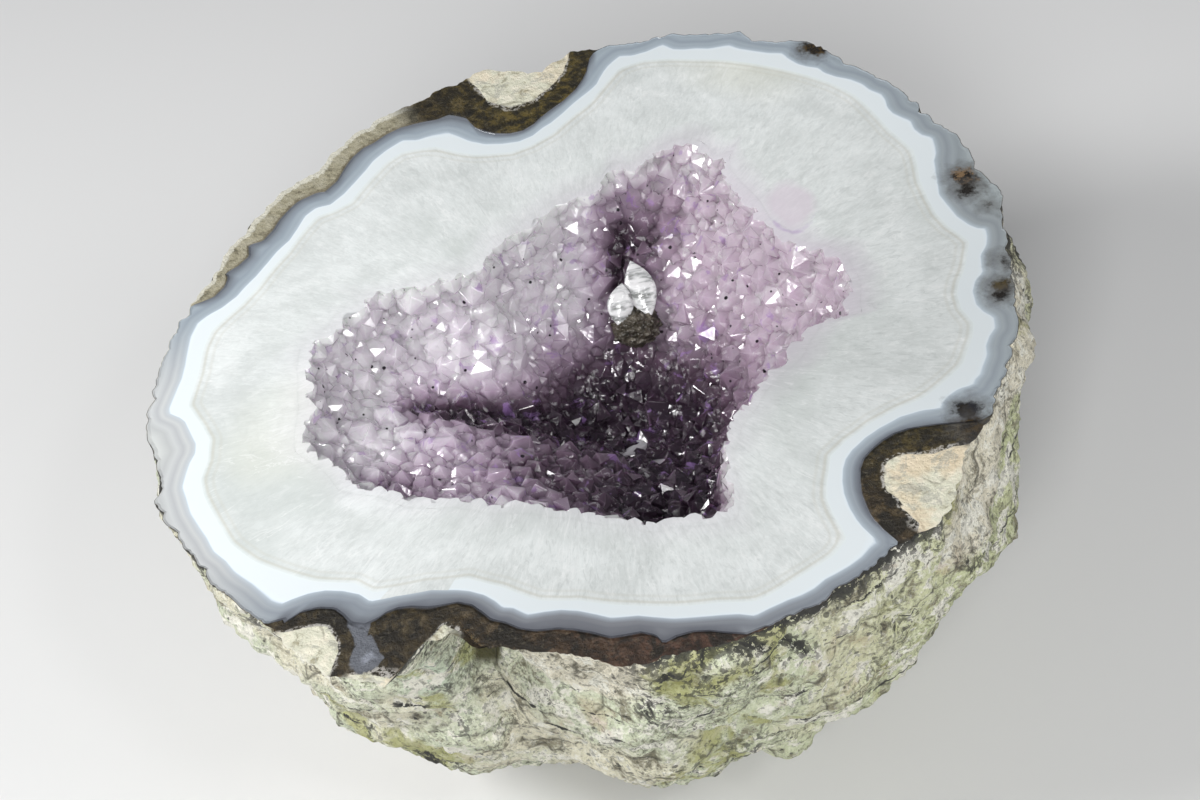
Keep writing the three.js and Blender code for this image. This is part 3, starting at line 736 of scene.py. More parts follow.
def speck_group() -> bpy.types.NodeTree:
    """Group that scatters small irregular specks, put out as a mask."""
    group = bpy.data.node_groups.new("Specks", "ShaderNodeTree")
    group.interface.new_socket("Vector", in_out="INPUT", socket_type="NodeSocketVector")
    group.interface.new_socket("Scale", in_out="INPUT", socket_type="NodeSocketFloat")
    group.interface.new_socket("Size", in_out="INPUT", socket_type="NodeSocketFloat")
    group.interface.new_socket("Mask", in_out="OUTPUT", socket_type="NodeSocketFloat")
    shades = Shades(group)
    given = shades.node("NodeGroupInput")
    cells = shades.node("ShaderNodeTexVoronoi",
                        {"Vector": given.outputs["Vector"], "Scale": given.outputs["Scale"]})
    chosen = shades.node("ShaderNodeSeparateColor", {"Color": cells.outputs["Color"]})
    radius = shades.times(given.outputs["Size"], shades.less(chosen.outputs[0], 0.45))
    inside = shades.less(radius, cells.outputs["Distance"])
    mask = shades.math("MULTIPLY", inside, 18.0, clamp=True)
    shades.node("NodeGroupOutput", {"Mask": mask})
    return group


class Line(IntEnum):
    """Lines on the sawn face, from the rim in; the mesh's layer value is this number on each of them."""

    RIM = 0
    MATRIX_EDGE = 1
    CONTACT = 2
    BAND_OUTER = 3
    BAND_INNER = 4
    HOLLOW_EDGE = 5


@dataclass(frozen=True)
class FaceSpot:
    """A spot of other rock in the chalcedony near the rim, in millimetres from the mark."""

    x: float
    y: float
    radius: float
    colour: Triple


FACE_SPOTS: Sequence[FaceSpot] = (
    FaceSpot(53, 85, 2.6, (0.07, 0.045, 0.015)), FaceSpot(73.3, 40.8, 2.8, (0.2, 0.13, 0.07)),
    FaceSpot(73, 37.2, 1.9, (0.02, 0.018, 0.016)), FaceSpot(76, 32, 0.8, (0.05, 0.04, 0.03)),
    FaceSpot(75.2, 17, 1.3, (0.03, 0.03, 0.03)), FaceSpot(73.5, 11, 2.1, (0.07, 0.05, 0.015)),
    FaceSpot(73, 8.3, 1.4, (0.02, 0.02, 0.02)), FaceSpot(61.5, -18, 2.6, (0.02, 0.02, 0.024)),
    FaceSpot(61.2, -22.2, 2.6, (0.05, 0.032, 0.012)),
)


@dataclass(frozen=True)
class SawnFaceFinish:
    """Polished section: rock, chalcedony, white band and fibrous quartz, laid out by the mesh's values,
    with painted shade on three sides.
    """

    quartz: Triple = (0.85, 0.88, 0.87)
    quartz_clear: Triple = (0.65, 0.68, 0.665)
    white: Triple = (0.81, 0.865, 0.885)
    chalcedony: Triple = (0.39, 0.45, 0.50)
    chalcedony_pale: Triple = (0.66, 0.68, 0.68)
    chalcedony_deep: Triple = (0.10, 0.105, 0.125)
    haze: Triple = (0.085, 0.08, 0.075)
    rose: Triple = (0.74, 0.65, 0.73)
    nodule: Triple = (40.8, 42.0, 5.0)
    nodule_squeeze: float = 0.66
    lilac: Triple = (0.70, 0.61, 0.71)
    brown: Triple = (0.038, 0.026, 0.009)
    red_brown: Triple = (0.07, 0.033, 0.018)
    khaki: Triple = (0.36, 0.33, 0.23)
    cream: Triple = (0.70, 0.69, 0.55)

    def build(self) -> bpy.types.Material:
        """Builds the material.

        Returns:
            The material of the sawn face and of the hollow's wall behind the crust.
        """
        material, shades, shader = new_material("sawn_face")
        place = shades.place()
        layer = shades.attribute("layer")
        colour = self._quartz(shades, place)
        band = shades.times(shades.step(layer, 4.04, 3.985),
                            shades.step(shades.attribute("bandless"), 0.6, 0.4))
        colour = shades.mix(band, colour, self._white(shades, place))
        # Painted shade: the quartz and the white band darkened towards black at the right, the near and the
        # far side.
        colour = shades.mix(shades.attribute("side_shade"), colour, (0.0, 0.0, 0.0))
        colour = shades.mix(shades.step(layer, 3.03, 2.98), colour, self._chalcedony(shades, place))
        rock = self._rock(shades, place)
        tongue = shades.times(shades.noise(place, 500.0, 3.0), 1.2, shades.attribute("tongue"))
        rocky = shades.times(shades.step(layer, 2.02, 1.97), shades.step(tongue, 0.75, 0.5))
        colour = shades.mix(rocky, colour, rock)
        colour = self._spots(shades, place, colour)
        shades.feed(shader.inputs["Base Color"], colour)
        scratches = shades.noise(place, 900.0, 2.0)
        rough = shades.times(scratches, 0.1, shades.step(layer, 2.05, 1.9))
        shades.feed(shader.inputs["Roughness"], shades.times(rough, 0.35, 0.24))
        height = shades.times(shades.noise(place, 420.0, 6.0, 0.7), shades.step(layer, 2.1, 1.9))
        shades.feed(shader.inputs["Normal"], shades.bump(height, 0.8, 0.0011))
        shader.inputs["Subsurface Weight"].default_value = 0.15
        shader.inputs["Subsurface Radius"].default_value = (1.0, 0.95, 0.95)
        shader.inputs["Subsurface Scale"].default_value = 0.002
        shader.inputs["IOR"].default_value = 1.54
        return material

    def _quartz(self, shades: Shades, place: Socket) -> Socket:
        """Milky quartz with fibres that run in from the band."""
        fibre = shades.attribute("fibre", "Vector")
        fine = shades.noise(fibre, 75.0, 6.0, 0.72, 0.9)
        broad = shades.noise(fibre, 14.0, 4.0, 0.55, 0.5)
        cloud = shades.noise(place, 75.0, 5.0, 0.6, 0.5)
        patch = shades.noise(place, 28.0, 3.0, 0.5, 0.3)
        grit = shades.noise(place, 520.0, 5.0, 0.75, 0.6)
        silky = shades.math("ADD", shades.times(fine, 0.4), shades.times(cloud, 0.45))
        silky = shades.times(grit, 0.15, silky)
        colour = shades.mix(shades.step(silky, 0.36, 0.64), self.quartz_clear, self.quartz)
        colour = shades.stain(colour, (0.87, 0.905, 0.895), broad, 0.5, 0.75, 0.35)
        colour = shades.stain(colour, (0.58, 0.62, 0.595), patch, 0.52, 0.66, 0.6)
        tint = shades.step(shades.noise(place, 17.0, 2.0), 0.56, 0.72)
        colour = shades.mix(shades.times(tint, 0.4), colour, (0.80, 0.80, 0.66))
        feather = shades.noise(fibre, 34.0, 6.0, 0.75, 1.3)
        crisp = shades.times(shades.attribute("side_shade"), 2.4, 0.35)
        white = shades.times(shades.partly(feather, 0.53, 0.66, 0.6), crisp)
        colour = shades.mix(white, colour, (0.92, 0.93, 0.92))
        clear = shades.times(shades.partly(feather, 0.46, 0.34, 0.55), crisp)
        colour = shades.mix(clear, colour, (0.50, 0.53, 0.52))
        wander = shades.math("ABSOLUTE", shades.less(shades.noise(fibre, 7.0, 5.0, 0.6, 0.7), 0.5))
        healed = shades.times(shades.step(wander, 0.012, 0.0), shades.step(cloud, 0.46, 0.6))
        colour = shades.mix(shades.times(healed, 0.45), colour, (0.97, 0.98, 0.97))
        inward = shades.attribute("inward")
        for middle, share in ((0.8, 0.45), (2.1, 0.22)):
            gap = shades.math("ABSOLUTE", shades.less(inward, middle))
            colour = shades.mix(shades.times(shades.step(gap, 0.45, 0.1), share), colour,
                                (0.60, 0.59, 0.51))
        near = shades.times(shades.noise(place, 130.0, 4.0, 0.6), 6.0, shades.attribute("near_hollow"))
        lilac = shades.times(shades.step(near, 8.0, 2.5), shades.attribute("lilac_side"))
        return self._nodule(shades, place, shades.mix(lilac, colour, self.lilac))

    def _nodule(self, shades: Shades, place: Socket, colour: Socket) -> Socket:
        """The round clear nodule that the saw crossed beside the hollow, with a violet line under it."""
        x, y, radius = self.nodule
        middle = on_sawn_face(x, y)
        off = shades.vector("SUBTRACT", place, middle)
        squeezed = shades.vector("MULTIPLY", off, (1.0, self.nodule_squeeze, 1.0))
        away = shades.vector("LENGTH", squeezed, output="Value")
        away = shades.times(shades.noise(place, 140.0, 3.0), 0.003, shades.less(away, 0.0015))
        height = shades.node("ShaderNodeSeparateXYZ", {"Vector": place}).outputs["Y"]
        colour = shades.stain(colour, self.rose, away, radius * MM, radius * MM - 0.002, 0.65)
        line = shades.step(shades.math("ABSOLUTE", shades.less(away, radius * MM)), 0.0005, 0.0001)
        line = shades.times(line, shades.step(height, middle[1] - 0.001, middle[1] - 0.005))
        line = shades.times(line, shades.step(shades.noise(place, 300.0, 3.0), 0.35, 0.6))
        return shades.mix(shades.times(line, 0.45), colour, (0.46, 0.30, 0.58))

    def _white(self, shades: Shades, place: Socket) -> Socket:
        """Opaque white band, a little blue at its outer edge."""
        layer = shades.attribute("layer")
        return shades.ramp(shades.less(layer, 3.0), (
            (0.0, (0.60, 0.68, 0.76)), (0.08, (0.82, 0.89, 0.93)), (0.25, self.white), (0.9, self.white),
            (1.0, (0.82, 0.88, 0.88))))

    def _chalcedony(self, shades: Shades, place: Socket) -> Socket:
        """Blue-grey chalcedony with thin bands that follow the white one."""
        outward = shades.attribute("outward")
        wavy = shades.times(shades.noise(place, 160.0, 3.0), 0.6, outward)
        shade = shades.mix(shades.attribute("pale_side"), self.chalcedony, self.chalcedony_pale)
        shade = shades.mix(shades.times(shades.attribute("grey_side"), 0.8), shade, (0.30, 0.325, 0.33))
        shade = shades.mix(shades.times(shades.attribute("dark_side"), 0.8), shade, (0.16, 0.155, 0.165))
        lines = shades.ramp(shades.times(wavy, 0.11), (
            (0.0, (1.0, 1.0, 1.0)), (0.1, (0.86, 0.86, 0.87)), (0.17, (0.97, 0.97, 0.97)),
            (0.26, (0.80, 0.80, 0.82)), (0.38, (0.95, 0.95, 0.95)), (0.5, (0.82, 0.82, 0.82)),
            (0.7, (1.0, 1.0, 0.98))))
        shade = shades.mix(1.0, shade, lines, "MULTIPLY")
        glow = shades.partly(outward, 1.1, 0.0, 0.5)
        shade = shades.mix(glow, shade, (0.55, 0.63, 0.70))
        rocky = shades.step(shades.attribute("layer"), 2.55, 2.05)
        beside = shades.times(rocky, shades.attribute("beside_rock"))
        shade = shades.mix(shades.times(beside, 0.85), shade, self.chalcedony_deep)
        wispy = shades.times(shades.noise(place, 260.0, 4.0, 0.6, 0.6), 2.4, shades.attribute("tongue"))
        milky = shades.times(shades.step(wispy, 2.1, 3.2),
                             shades.step(shades.attribute("layer"), 2.05, 1.95))
        return shades.mix(shades.times(milky, 0.8), shade, (0.30, 0.32, 0.37))

    def _rock(self, shades: Shades, place: Socket) -> Socket:
        """Brown or khaki rock, granular at its edges, round patches of cream matrix."""
        layer = shades.attribute("layer")
        mottle = shades.noise(place, 330.0, 6.0, 0.66, 0.4)
        grain = shades.noise(place, 1300.0, 5.0, 0.7)
        brown = shades.ramp(mottle, (
            (0.34, (0.010, 0.008, 0.003)), (0.47, self.brown), (0.58, (0.085, 0.062, 0.025)),
            (0.68, (0.18, 0.14, 0.08))))
        red = shades.ramp(mottle, (
            (0.34, (0.02, 0.011, 0.006)), (0.47, self.red_brown), (0.58, (0.13, 0.062, 0.038)),
            (0.68, (0.25, 0.14, 0.10))))
        brown = shades.mix(shades.attribute("red_side"), brown, red)
        dark = shades.step(shades.noise(place, 140.0, 4.0, 0.6, 0.5), 0.49, 0.55)
        brown = shades.mix(shades.times(dark, 0.9), brown, (0.014, 0.010, 0.004))
        olive = shades.ramp(mottle, (
            (0.36, (0.009, 0.007, 0.002)), (0.48, (0.045, 0.034, 0.007)), (0.6, (0.20, 0.145, 0.03))))
        brown = shades.mix(shades.attribute("olive_side"), brown, olive)
        khaki = shades.ramp(mottle, (
            (0.3, (0.10, 0.088, 0.055)), (0.46, self.khaki), (0.7, (0.46, 0.43, 0.33))))
        contact = shades.times(grain, 0.5, layer)
        khaki = shades.stain(khaki, (0.10, 0.08, 0.045), contact, 2.05, 2.2, 0.7)
        khaki = shades.mix(shades.step(contact, 1.52, 1.44), khaki, (0.66, 0.64, 0.54))
        brown = shades.mix(0.4, brown, (0.0, 0.0, 0.0))
        rock = shades.mix(shades.attribute("khaki"), brown, khaki)
        rough = shades.times(shades.attribute("khaki"), -0.8, 1.0)
        salt = shades.times(shades.step(grain, 0.57, 0.63), rough)
        rock = shades.mix(shades.times(salt, 0.14), rock, (0.33, 0.29, 0.2))
        pits = shades.times(shades.step(grain, 0.45, 0.4), rough)
        rock = shades.mix(shades.times(pits, 0.65), rock, (0.012, 0.010, 0.006))
        inner = shades.times(shades.noise(place, 420.0, 3.0), 0.35, layer)
        patched = shades.attribute("patched")
        fringe = shades.times(shades.step(inner, 1.36, 1.28), shades.step(grain, 0.47, 0.53))
        fringe = shades.times(fringe, patched)
        rock = shades.mix(shades.times(fringe, 0.8), rock, (0.52, 0.50, 0.46))
        cream = shades.mix(shades.step(mottle, 0.47, 0.62), self.cream, (0.82, 0.78, 0.64))
        cream = shades.stain(cream, (0.30, 0.27, 0.17), mottle, 0.44, 0.36, 0.8)
        crack = shades.step(shades.net(place, 130.0, 0.005, 120.0), 0.04, 0.0)
        crack = shades.times(crack, shades.step(shades.noise(place, 160.0, 2.0), 0.45, 0.58))
        cream = shades.mix(shades.times(crack, 0.6), cream, (0.20, 0.18, 0.12))
        peach = shades.step(shades.noise(place, 90.0, 4.0, 0.6, 0.5), 0.45, 0.6)
        warm = shades.times(peach, shades.math("MULTIPLY", shades.attribute("side_shade"), 3.5, clamp=True))
        cream = shades.mix(warm, cream, (0.78, 0.62, 0.42))
        dusty = shades.step(shades.noise(place, 240.0, 5.0, 0.7, 0.5), 0.54, 0.62)
        cream = shades.mix(shades.times(dusty, 0.55), cream, (0.38, 0.38, 0.33))
        inside = shades.times(shades.step(inner, 1.2, 1.14), patched)
        return shades.mix(inside, rock, cream)

    def _spots(self, shades: Shades, place: Socket, colour: Socket) -> Socket:
        """Spots of rock in the chalcedony, each with a darker halo."""
        shaken = shades.noise(place, 330.0, 5.0, 0.7)
        mottled = shades.step(shades.noise(place, 700.0, 4.0, 0.7), 0.42, 0.6)
        for spot in FACE_SPOTS:
            away = shades.vector("DISTANCE", place, on_sawn_face(spot.x, spot.y), output="Value")
            rough_away = shades.times(shaken, 0.007, away)
            edge = spot.radius * MM + 0.0035
            halo = shades.partly(rough_away, edge + 0.0026, edge - 0.0005, 0.65)
            colour = shades.mix(halo, colour, self.haze)
            inner = shades.mix(mottled, (0.018, 0.015, 0.012), spot.colour)
            colour = shades.mix(shades.step(rough_away, edge + 0.0002, edge - 0.0011), colour, inner)
        return colour


@dataclass(frozen=True)
class RindFinish:
    """Weathered outside: cream and pale green crust with grey-black and ochre specks, and painted dark
    olive shade in its groove.
    """

    cream: Triple = (0.82, 0.78, 0.61)
    pale_green: Triple = (0.70, 0.745, 0.56)
    grey: Triple = (0.055, 0.055, 0.05)
    # Colour of the painted shade in the groove.
    olive: Triple = (0.075, 0.068, 0.026)
    moss_yellow: Triple = (0.46, 0.46, 0.17)
    rust: Triple = (0.42, 0.27, 0.15)

    def build(self, specks: bpy.types.NodeTree) -> bpy.types.Material:
        """Builds the material.

        Args:
            specks: the shared group that scatters specks.

        Returns:
            The material of the rind and the seat.
        """
        material, shades, shader = new_material("rind")
        place = shades.place()
        mottle = shades.noise(place, 150.0, 7.0, 0.7, 0.4)
        fine = shades.noise(place, 760.0, 4.0, 0.7)
        colour = self._ground(shades, place, mottle)
        grit = shades.noise(place, 1250.0, 4.0, 0.75)
        drifts = shades.step(shades.noise(place, 50.0, 5.0, 0.66, 0.8), 0.45, 0.6)
        gritty = shades.times(drifts, 0.65, 0.12)
        colour = shades.mix(shades.times(shades.step(grit, 0.49, 0.41), gritty), colour,
                            (0.13, 0.125, 0.085))
        colour = shades.stain(colour, (0.95, 0.94, 0.86), grit, 0.53, 0.6, 0.35)
        colour = self._stains_and_groove_shade(shades, place, mottle, colour)
        net = shades.net(place, 90.0, 0.006, 85.0)
        split = shades.times(shades.step(net, 0.035, 0.0), shades.step(mottle, 0.53, 0.47))
        colour = shades.mix(shades.times(split, 0.8), colour, (0.09, 0.085, 0.065))
        pepper = self._pepper(shades, place, fine)
        colour = shades.mix(pepper, colour, self.grey)
        group = shades.node("ShaderNodeGroup", node_tree=specks)
        shades.feed(group.inputs["Vector"], place)
        group.inputs["Scale"].default_value = 420.0
        group.inputs["Size"].default_value = 0.5
        colour = shades.mix(shades.times(group.outputs["Mask"], 0.75), colour, self.grey)
        shades.feed(shader.inputs["Base Color"], colour)
        shades.feed(shader.inputs["Roughness"], shades.times(mottle, -0.3, 0.98))
        shader.inputs["Specular IOR Level"].default_value = 0.3
        cracks = shades.step(net, 0.0, 0.06)
        height = shades.math("ADD", shades.times(mottle, 0.6), shades.times(fine, 0.5))
        height = shades.times(grit, 0.3, height)
        height = shades.times(cracks, 0.18, height)
        shades.feed(shader.inputs["Normal"], shades.bump(height, 1.0, 0.0022))
        return material

    def _ground(self, shades: Shades, place: Socket, mottle: Socket) -> Socket:
        """Cream and pale green ground with whiter scurf."""
        broad = shades.noise(place, 24.0, 4.0, 0.6, 0.5)
        colour = shades.mix(shades.step(broad, 0.46, 0.58), self.cream, self.pale_green)
        colour = shades.mix(shades.times(shades.attribute("green_side"), 0.9), colour, (0.66, 0.70, 0.40))
        spilt = shades.step(shades.times(broad, 0.5, shades.attribute("spill")), 0.6, 0.9)
        colour = shades.mix(spilt, colour, (0.82, 0.77, 0.62))
        colour = shades.mix(shades.times(shades.attribute("mint"), 0.9), colour, (0.62, 0.74, 0.58))
        colour = shades.mix(shades.step(mottle, 0.515, 0.57), colour, (0.93, 0.91, 0.80))
        hollows = shades.partly(mottle, 0.46, 0.38, 0.85)
        hollows = shades.times(hollows, shades.times(shades.attribute("mint"), -0.6, 1.0))
        return shades.mix(hollows, colour, (0.25, 0.225, 0.155))

    def _stains_and_groove_shade(self, shades: Shades, place: Socket, mottle: Socket,
                colour: Socket) -> Socket:
        """Yellow-green and rusty stains, and painted dark olive shade in the groove."""
        stain = shades.noise(place, 38.0, 5.0, 0.65, 0.6)
        colour = shades.stain(colour, self.moss_yellow, stain, 0.55, 0.62, 0.75)
        rusty = shades.partly(shades.noise(place, 61.0, 5.0, 0.7, 0.6), 0.58, 0.7, 0.4)
        colour = shades.mix(rusty, colour, self.rust)
        # Painted shade: the groove darkened to olive where it is cut deep.
        groove = shades.times(mottle, 1.0, shades.attribute("groove"))
        return shades.stain(colour, self.olive, groove, 1.4, 3.4, 0.95)

    def _pepper(self, shades: Shades, place: Socket, fine: Socket) -> Socket:
        """Black and grey grains, thick close under the rim and in drifts further down."""
        drift = shades.noise(place, 42.0, 6.0, 0.68, 0.8)
        under = shades.times(drift, 9.0, shades.attribute("below_rim"))
        rim = shades.step(under, 9.5, 5.0)
        sheets = shades.stretched(place, (60.0, 60.0, 420.0))
        lines = shades.step(shades.noise(sheets, 1.0, 5.0, 0.6, 0.4), 0.6, 0.68)
        thick = shades.math("MAXIMUM", shades.step(drift, 0.53, 0.66), shades.math("MAXIMUM", rim, lines))
        thick = shades.times(thick, shades.step(shades.attribute("spill"), 0.9, 0.35))
        grains = shades.step(shades.times(thick, 0.17, fine), 0.56, 0.6)
        return shades.times(grains, shades.times(thick, 0.55, 0.45))


# Sides of the stone where something is stronger: the middle and the spread in degrees round RAY_MIDDLE
SIDES: dict[str, tuple[float, float]] = {
    "grey_side": (8.0, 36.0), "dark_side": (-95.0, 46.0), "red_side": (-80.0, 24.0),
    "green_side": (-28.0, 42.0),
}
# Where cream matrix runs over the rim: its middle and spread in degrees, and how far down it runs
SPILLS: Sequence[Triple] = (
    (-36.0, 11.0, 26.0), (-10.0, 17.0, 12.0), (-131.0, 7.0, 9.0), (97.0, 7.0, 14.0), (-100.0, 11.0, 24.0),
)


@dataclass
class Stone:
    """The half stone itself: rind, sawn face and the wall of its hollow, one closed body."""

    form: StoneForm
    segments: int = 700
    rind_rows: int = 107
    wall_rows: int = 6
    face_steps: tuple[int, ...] = (3, 4, 3, 3, 8)
    crowding: float = 0.92
    gap: float = 0.04
    wall_depth: float = 50.0
    khaki_middle: float = 140.0
    pale_middle: float = 190.0
    bandless_middle: float = -125.8
    mint: Triple = (-124.0, 4.5, 14.0)
    grain: float = 0.006

    def build(self) -> bpy.types.Object:
        """Builds the stone's mesh.

        Returns:
            The object, with its values for the sawn face's material.
        """
        angles = np.arange(self.segments) * TURN / self.segments
        lines = self._face_lines(angles)
        rows = self.wall_rows + 1
        rings = [self.form.hollow_wall(angles, row / rows) for row in range(self.wall_rows, 0, -1)]
        for number in range(len(lines) - 1, 0, -1):
            for step in range(self.face_steps[number - 1]):
                share = step / self.face_steps[number - 1]
                reach = lines[number] * (1.0 - share) + lines[number - 1] * share
                rings.append(self._on_face(angles, reach))
        for row in range(self.rind_rows + 1):
            depth = STONE_HEIGHT * math.sin(math.pi / 2.0 * (row / self.rind_rows) ** self.crowding)
            rings.append(self.form.rind(angles, depth))
        floor = self.form.hollow_wall(np.zeros(1), 1.0)[0]
        seat = np.array([RAY_MIDDLE[0] - BOX_MIDDLE[0], RAY_MIDDLE[1] - BOX_MIDDLE[1], 0.0])
        body = ringed_body("geode_stone", rings, floor, seat)
        self._dress(body, angles, lines)
        self._assign(body)
        return body

    def _face_lines(self, angles: np.ndarray) -> list[np.ndarray]:
        """Distances of the face's lines at the angles, each kept inside the one before."""
        rim = self.form.rim
        outlines = (rim, PatchedOutline(rim, MATRIX_EDGE), PatchedOutline(rim, CONTACT),
                    Outline(BAND_OUTER), Outline(BAND_INNER, 0.5), self.form.hollow)
        lines = [outline.at(angles) for outline in outlines]
        for number in range(1, len(lines)):
            lines[number] = np.minimum(lines[number], lines[number - 1] - self.gap)
        return lines

    @staticmethod
    def _on_face(angles: np.ndarray, reach: np.ndarray) -> np.ndarray:
        """Points on the sawn face at distances from RAY_MIDDLE."""
        x = RAY_MIDDLE[0] + reach * np.cos(angles)
        y = RAY_MIDDLE[1] + reach * np.sin(angles)
        return StoneForm.placed(np.stack([x, y, np.zeros_like(x)], axis=1))

    def _dress(self, body: bpy.types.Object, angles: np.ndarray, lines: list[np.ndarray]) -> None:
        """Gives the body the values that its two materials read.

        Args:
            body: the stone.
            angles: angles at which the face's lines are known.
            lines: distances of the lines at them, in the order of Line.
        """
        places = points_of(body)
        x = places[:, 0] + BOX_MIDDLE[0] - RAY_MIDDLE[0]
        y = places[:, 1] + BOX_MIDDLE[1] - RAY_MIDDLE[1]
        angle = np.arctan2(y, x) % TURN
        reach = np.hypot(x, y)
        below = STONE_HEIGHT - places[:, 2]
        line_at = [np.interp(angle, angles, line, period=TURN) for line in lines]
        on_face = below < 0.01
        inside = (below > 0.01) & (reach < line_at[Line.HOLLOW_EDGE] + 0.5) & (below < self.wall_depth)
        layer = np.zeros(len(places))
        for outer, inner in zip(line_at, line_at[1:]):
            layer += np.clip((outer - reach) / (outer - inner), 0.0, 1.0)
        rim = line_at[Line.RIM]
        outer_side = on_face & (reach > line_at[Line.BAND_OUTER])
        inner_side = on_face & (reach < line_at[Line.BAND_INNER])
        inward = self._away_from(places, inner_side, self._on_face(angles, lines[Line.BAND_INNER]))
        olive = 0.5 * bell(degrees_apart(angle, -30.0), 13.0)
        along = reach * self.grain - places[:, 2] * self.grain
        values = {
            "layer": np.where(on_face, layer, np.where(inside, float(Line.HOLLOW_EDGE), 0.0)),
            "outward": self._away_from(places, outer_side, self._on_face(angles, lines[Line.BAND_OUTER])),
            "inward": np.where(on_face, inward, 9.0),
            # painted shade at the right, the near and the far side of the face
            "side_shade": side_shade_at(angle),
            "lilac_side": lilac_share(angle),
            "olive_side": bell(degrees_apart(angle, 92.0), 12.0) + olive,
            "khaki": smoothstep(0.0, 5.0, 32.0 - np.abs(degrees_apart(angle, self.khaki_middle))),
            "pale_side": smoothstep(34.0, 14.0, np.abs(degrees_apart(angle, self.pale_middle))),
            "bandless": smoothstep(0.0, 1.2, 5.1 - np.abs(degrees_apart(angle, self.bandless_middle))),
            "beside_rock": smoothstep(0.3, 1.2, rim - line_at[Line.CONTACT]),
            "patched": smoothstep(0.3, 1.0, rim - line_at[Line.MATRIX_EDGE]),
            "near_hollow": np.where(on_face, reach - line_at[Line.HOLLOW_EDGE], 0.0),
            "tongue": inside_depth(places[:, :2] + np.array(BOX_MIDDLE), TONGUE),
            "fibre": np.stack([np.cos(angle), np.sin(angle), along], axis=1),
        }
        for name, (middle, spread) in SIDES.items():
            values[name] = bell(degrees_apart(angle, middle), spread)
        values.update(self._rind_values(angle, below, ~inside & (~on_face | (reach > rim - 0.05))))
        for name, value in values.items():
            add_values(body, name, value)

    def _rind_values(self, angle: np.ndarray, below: np.ndarray, rind: np.ndarray) -> dict[str, np.ndarray]:
        """What only the rind's material reads, 0 where the body isn't rind."""
        spill = np.zeros(len(angle))
        for middle, spread, down in SPILLS:
            spill += bell(degrees_apart(angle, middle), spread) * smoothstep(down, down * 0.4, below)
        middle, spread, depth = self.mint
        return {
            "below_rim": np.where(rind, below, 0.0),
            "spill": np.where(rind, spill, 0.0),
            "mint": bell(degrees_apart(angle, middle), spread) * bell(below - depth, 10.0),
            # how deep the groove is cut near the rim, which the rind's material paints as shade
            "groove": np.where(rind, self.form.groove(angle, below) * smoothstep(27.0, 13.0, below), 0.0),
        }

    @staticmethod
    def _away_from(places: np.ndarray, chosen: np.ndarray, line: np.ndarray) -> np.ndarray:
        """Distances of the chosen places from a line on the face, and 0 for the others."""
        following = np.roll(line, -1, axis=0)
        corners = np.concatenate([line * (1.0 - share) + following * share for share in (0.0, 0.33, 0.67)])
        tree = KDTree(len(corners))
        for number, corner in enumerate(corners):
            tree.insert(corner, number)
        tree.balance()
        distances = np.zeros(len(places))
        distances[chosen] = [tree.find(place)[2] for place in places[chosen]]
        return distances

    def _assign(self, body: bpy.types.Object) -> None:
        """Gives the face and the hollow the first material and the rind the second, which is smooth."""
        centres = np.empty(len(body.data.polygons) * 3)
        body.data.polygons.foreach_get("center", centres)
        centres = centres.reshape(-1, 3) / MM
        normals = np.empty(len(body.data.polygons) * 3)
        body.data.polygons.foreach_get("normal", normals)
        normals = normals.reshape(-1, 3)
        face = centres[:, 2] > STONE_HEIGHT - 0.02
        x = centres[:, 0] + BOX_MIDDLE[0] - RAY_MIDDLE[0]
        y = centres[:, 1] + BOX_MIDDLE[1] - RAY_MIDDLE[1]
        within = np.hypot(x, y) < self.form.hollow.at(np.arctan2(y, x) % TURN) + 0.3
        hollow = within & (normals[:, 2] > -0.4) & (centres[:, 2] > 30.0)
        index = np.where(face | hollow, 0, 1).astype(np.int32)
        body.data.polygons.foreach_set("material_index", index)
        body.data.polygons.foreach_set("use_smooth", (index == 1))
        body.data.update()


@dataclass(frozen=True)
class CrystalSize:
    """A size of crystal: how far apart they grow, how wide they get and how long a stem shows."""

    spacing: float
    radius: tuple[float, float]
    stem: tuple[float, float]
    tries: int
    worn: bool = False
    deeper_than: float = 0.0


@dataclass(frozen=True)
class Crystal:
    """Corner points of a crystal, in millimetres, and its faces."""

    corners: np.ndarray
    faces: Sequence[tuple[int, ...]]


@dataclass(frozen=True)
class ShadeDab:
    """A dab of painted shade on the crust, where little light reaches: its middle on the plan, its spread
    and how much.
    """

    x: float
    y: float
    spread: float
    amount: float


@dataclass(frozen=True)
class Standout:
    """A large crystal on the shelf's crest: its foot on the mark's plan, its radius, height and leans."""

    x: float
    y: float
    radius: float
    height: float
    lean_x: float
    lean_y: float


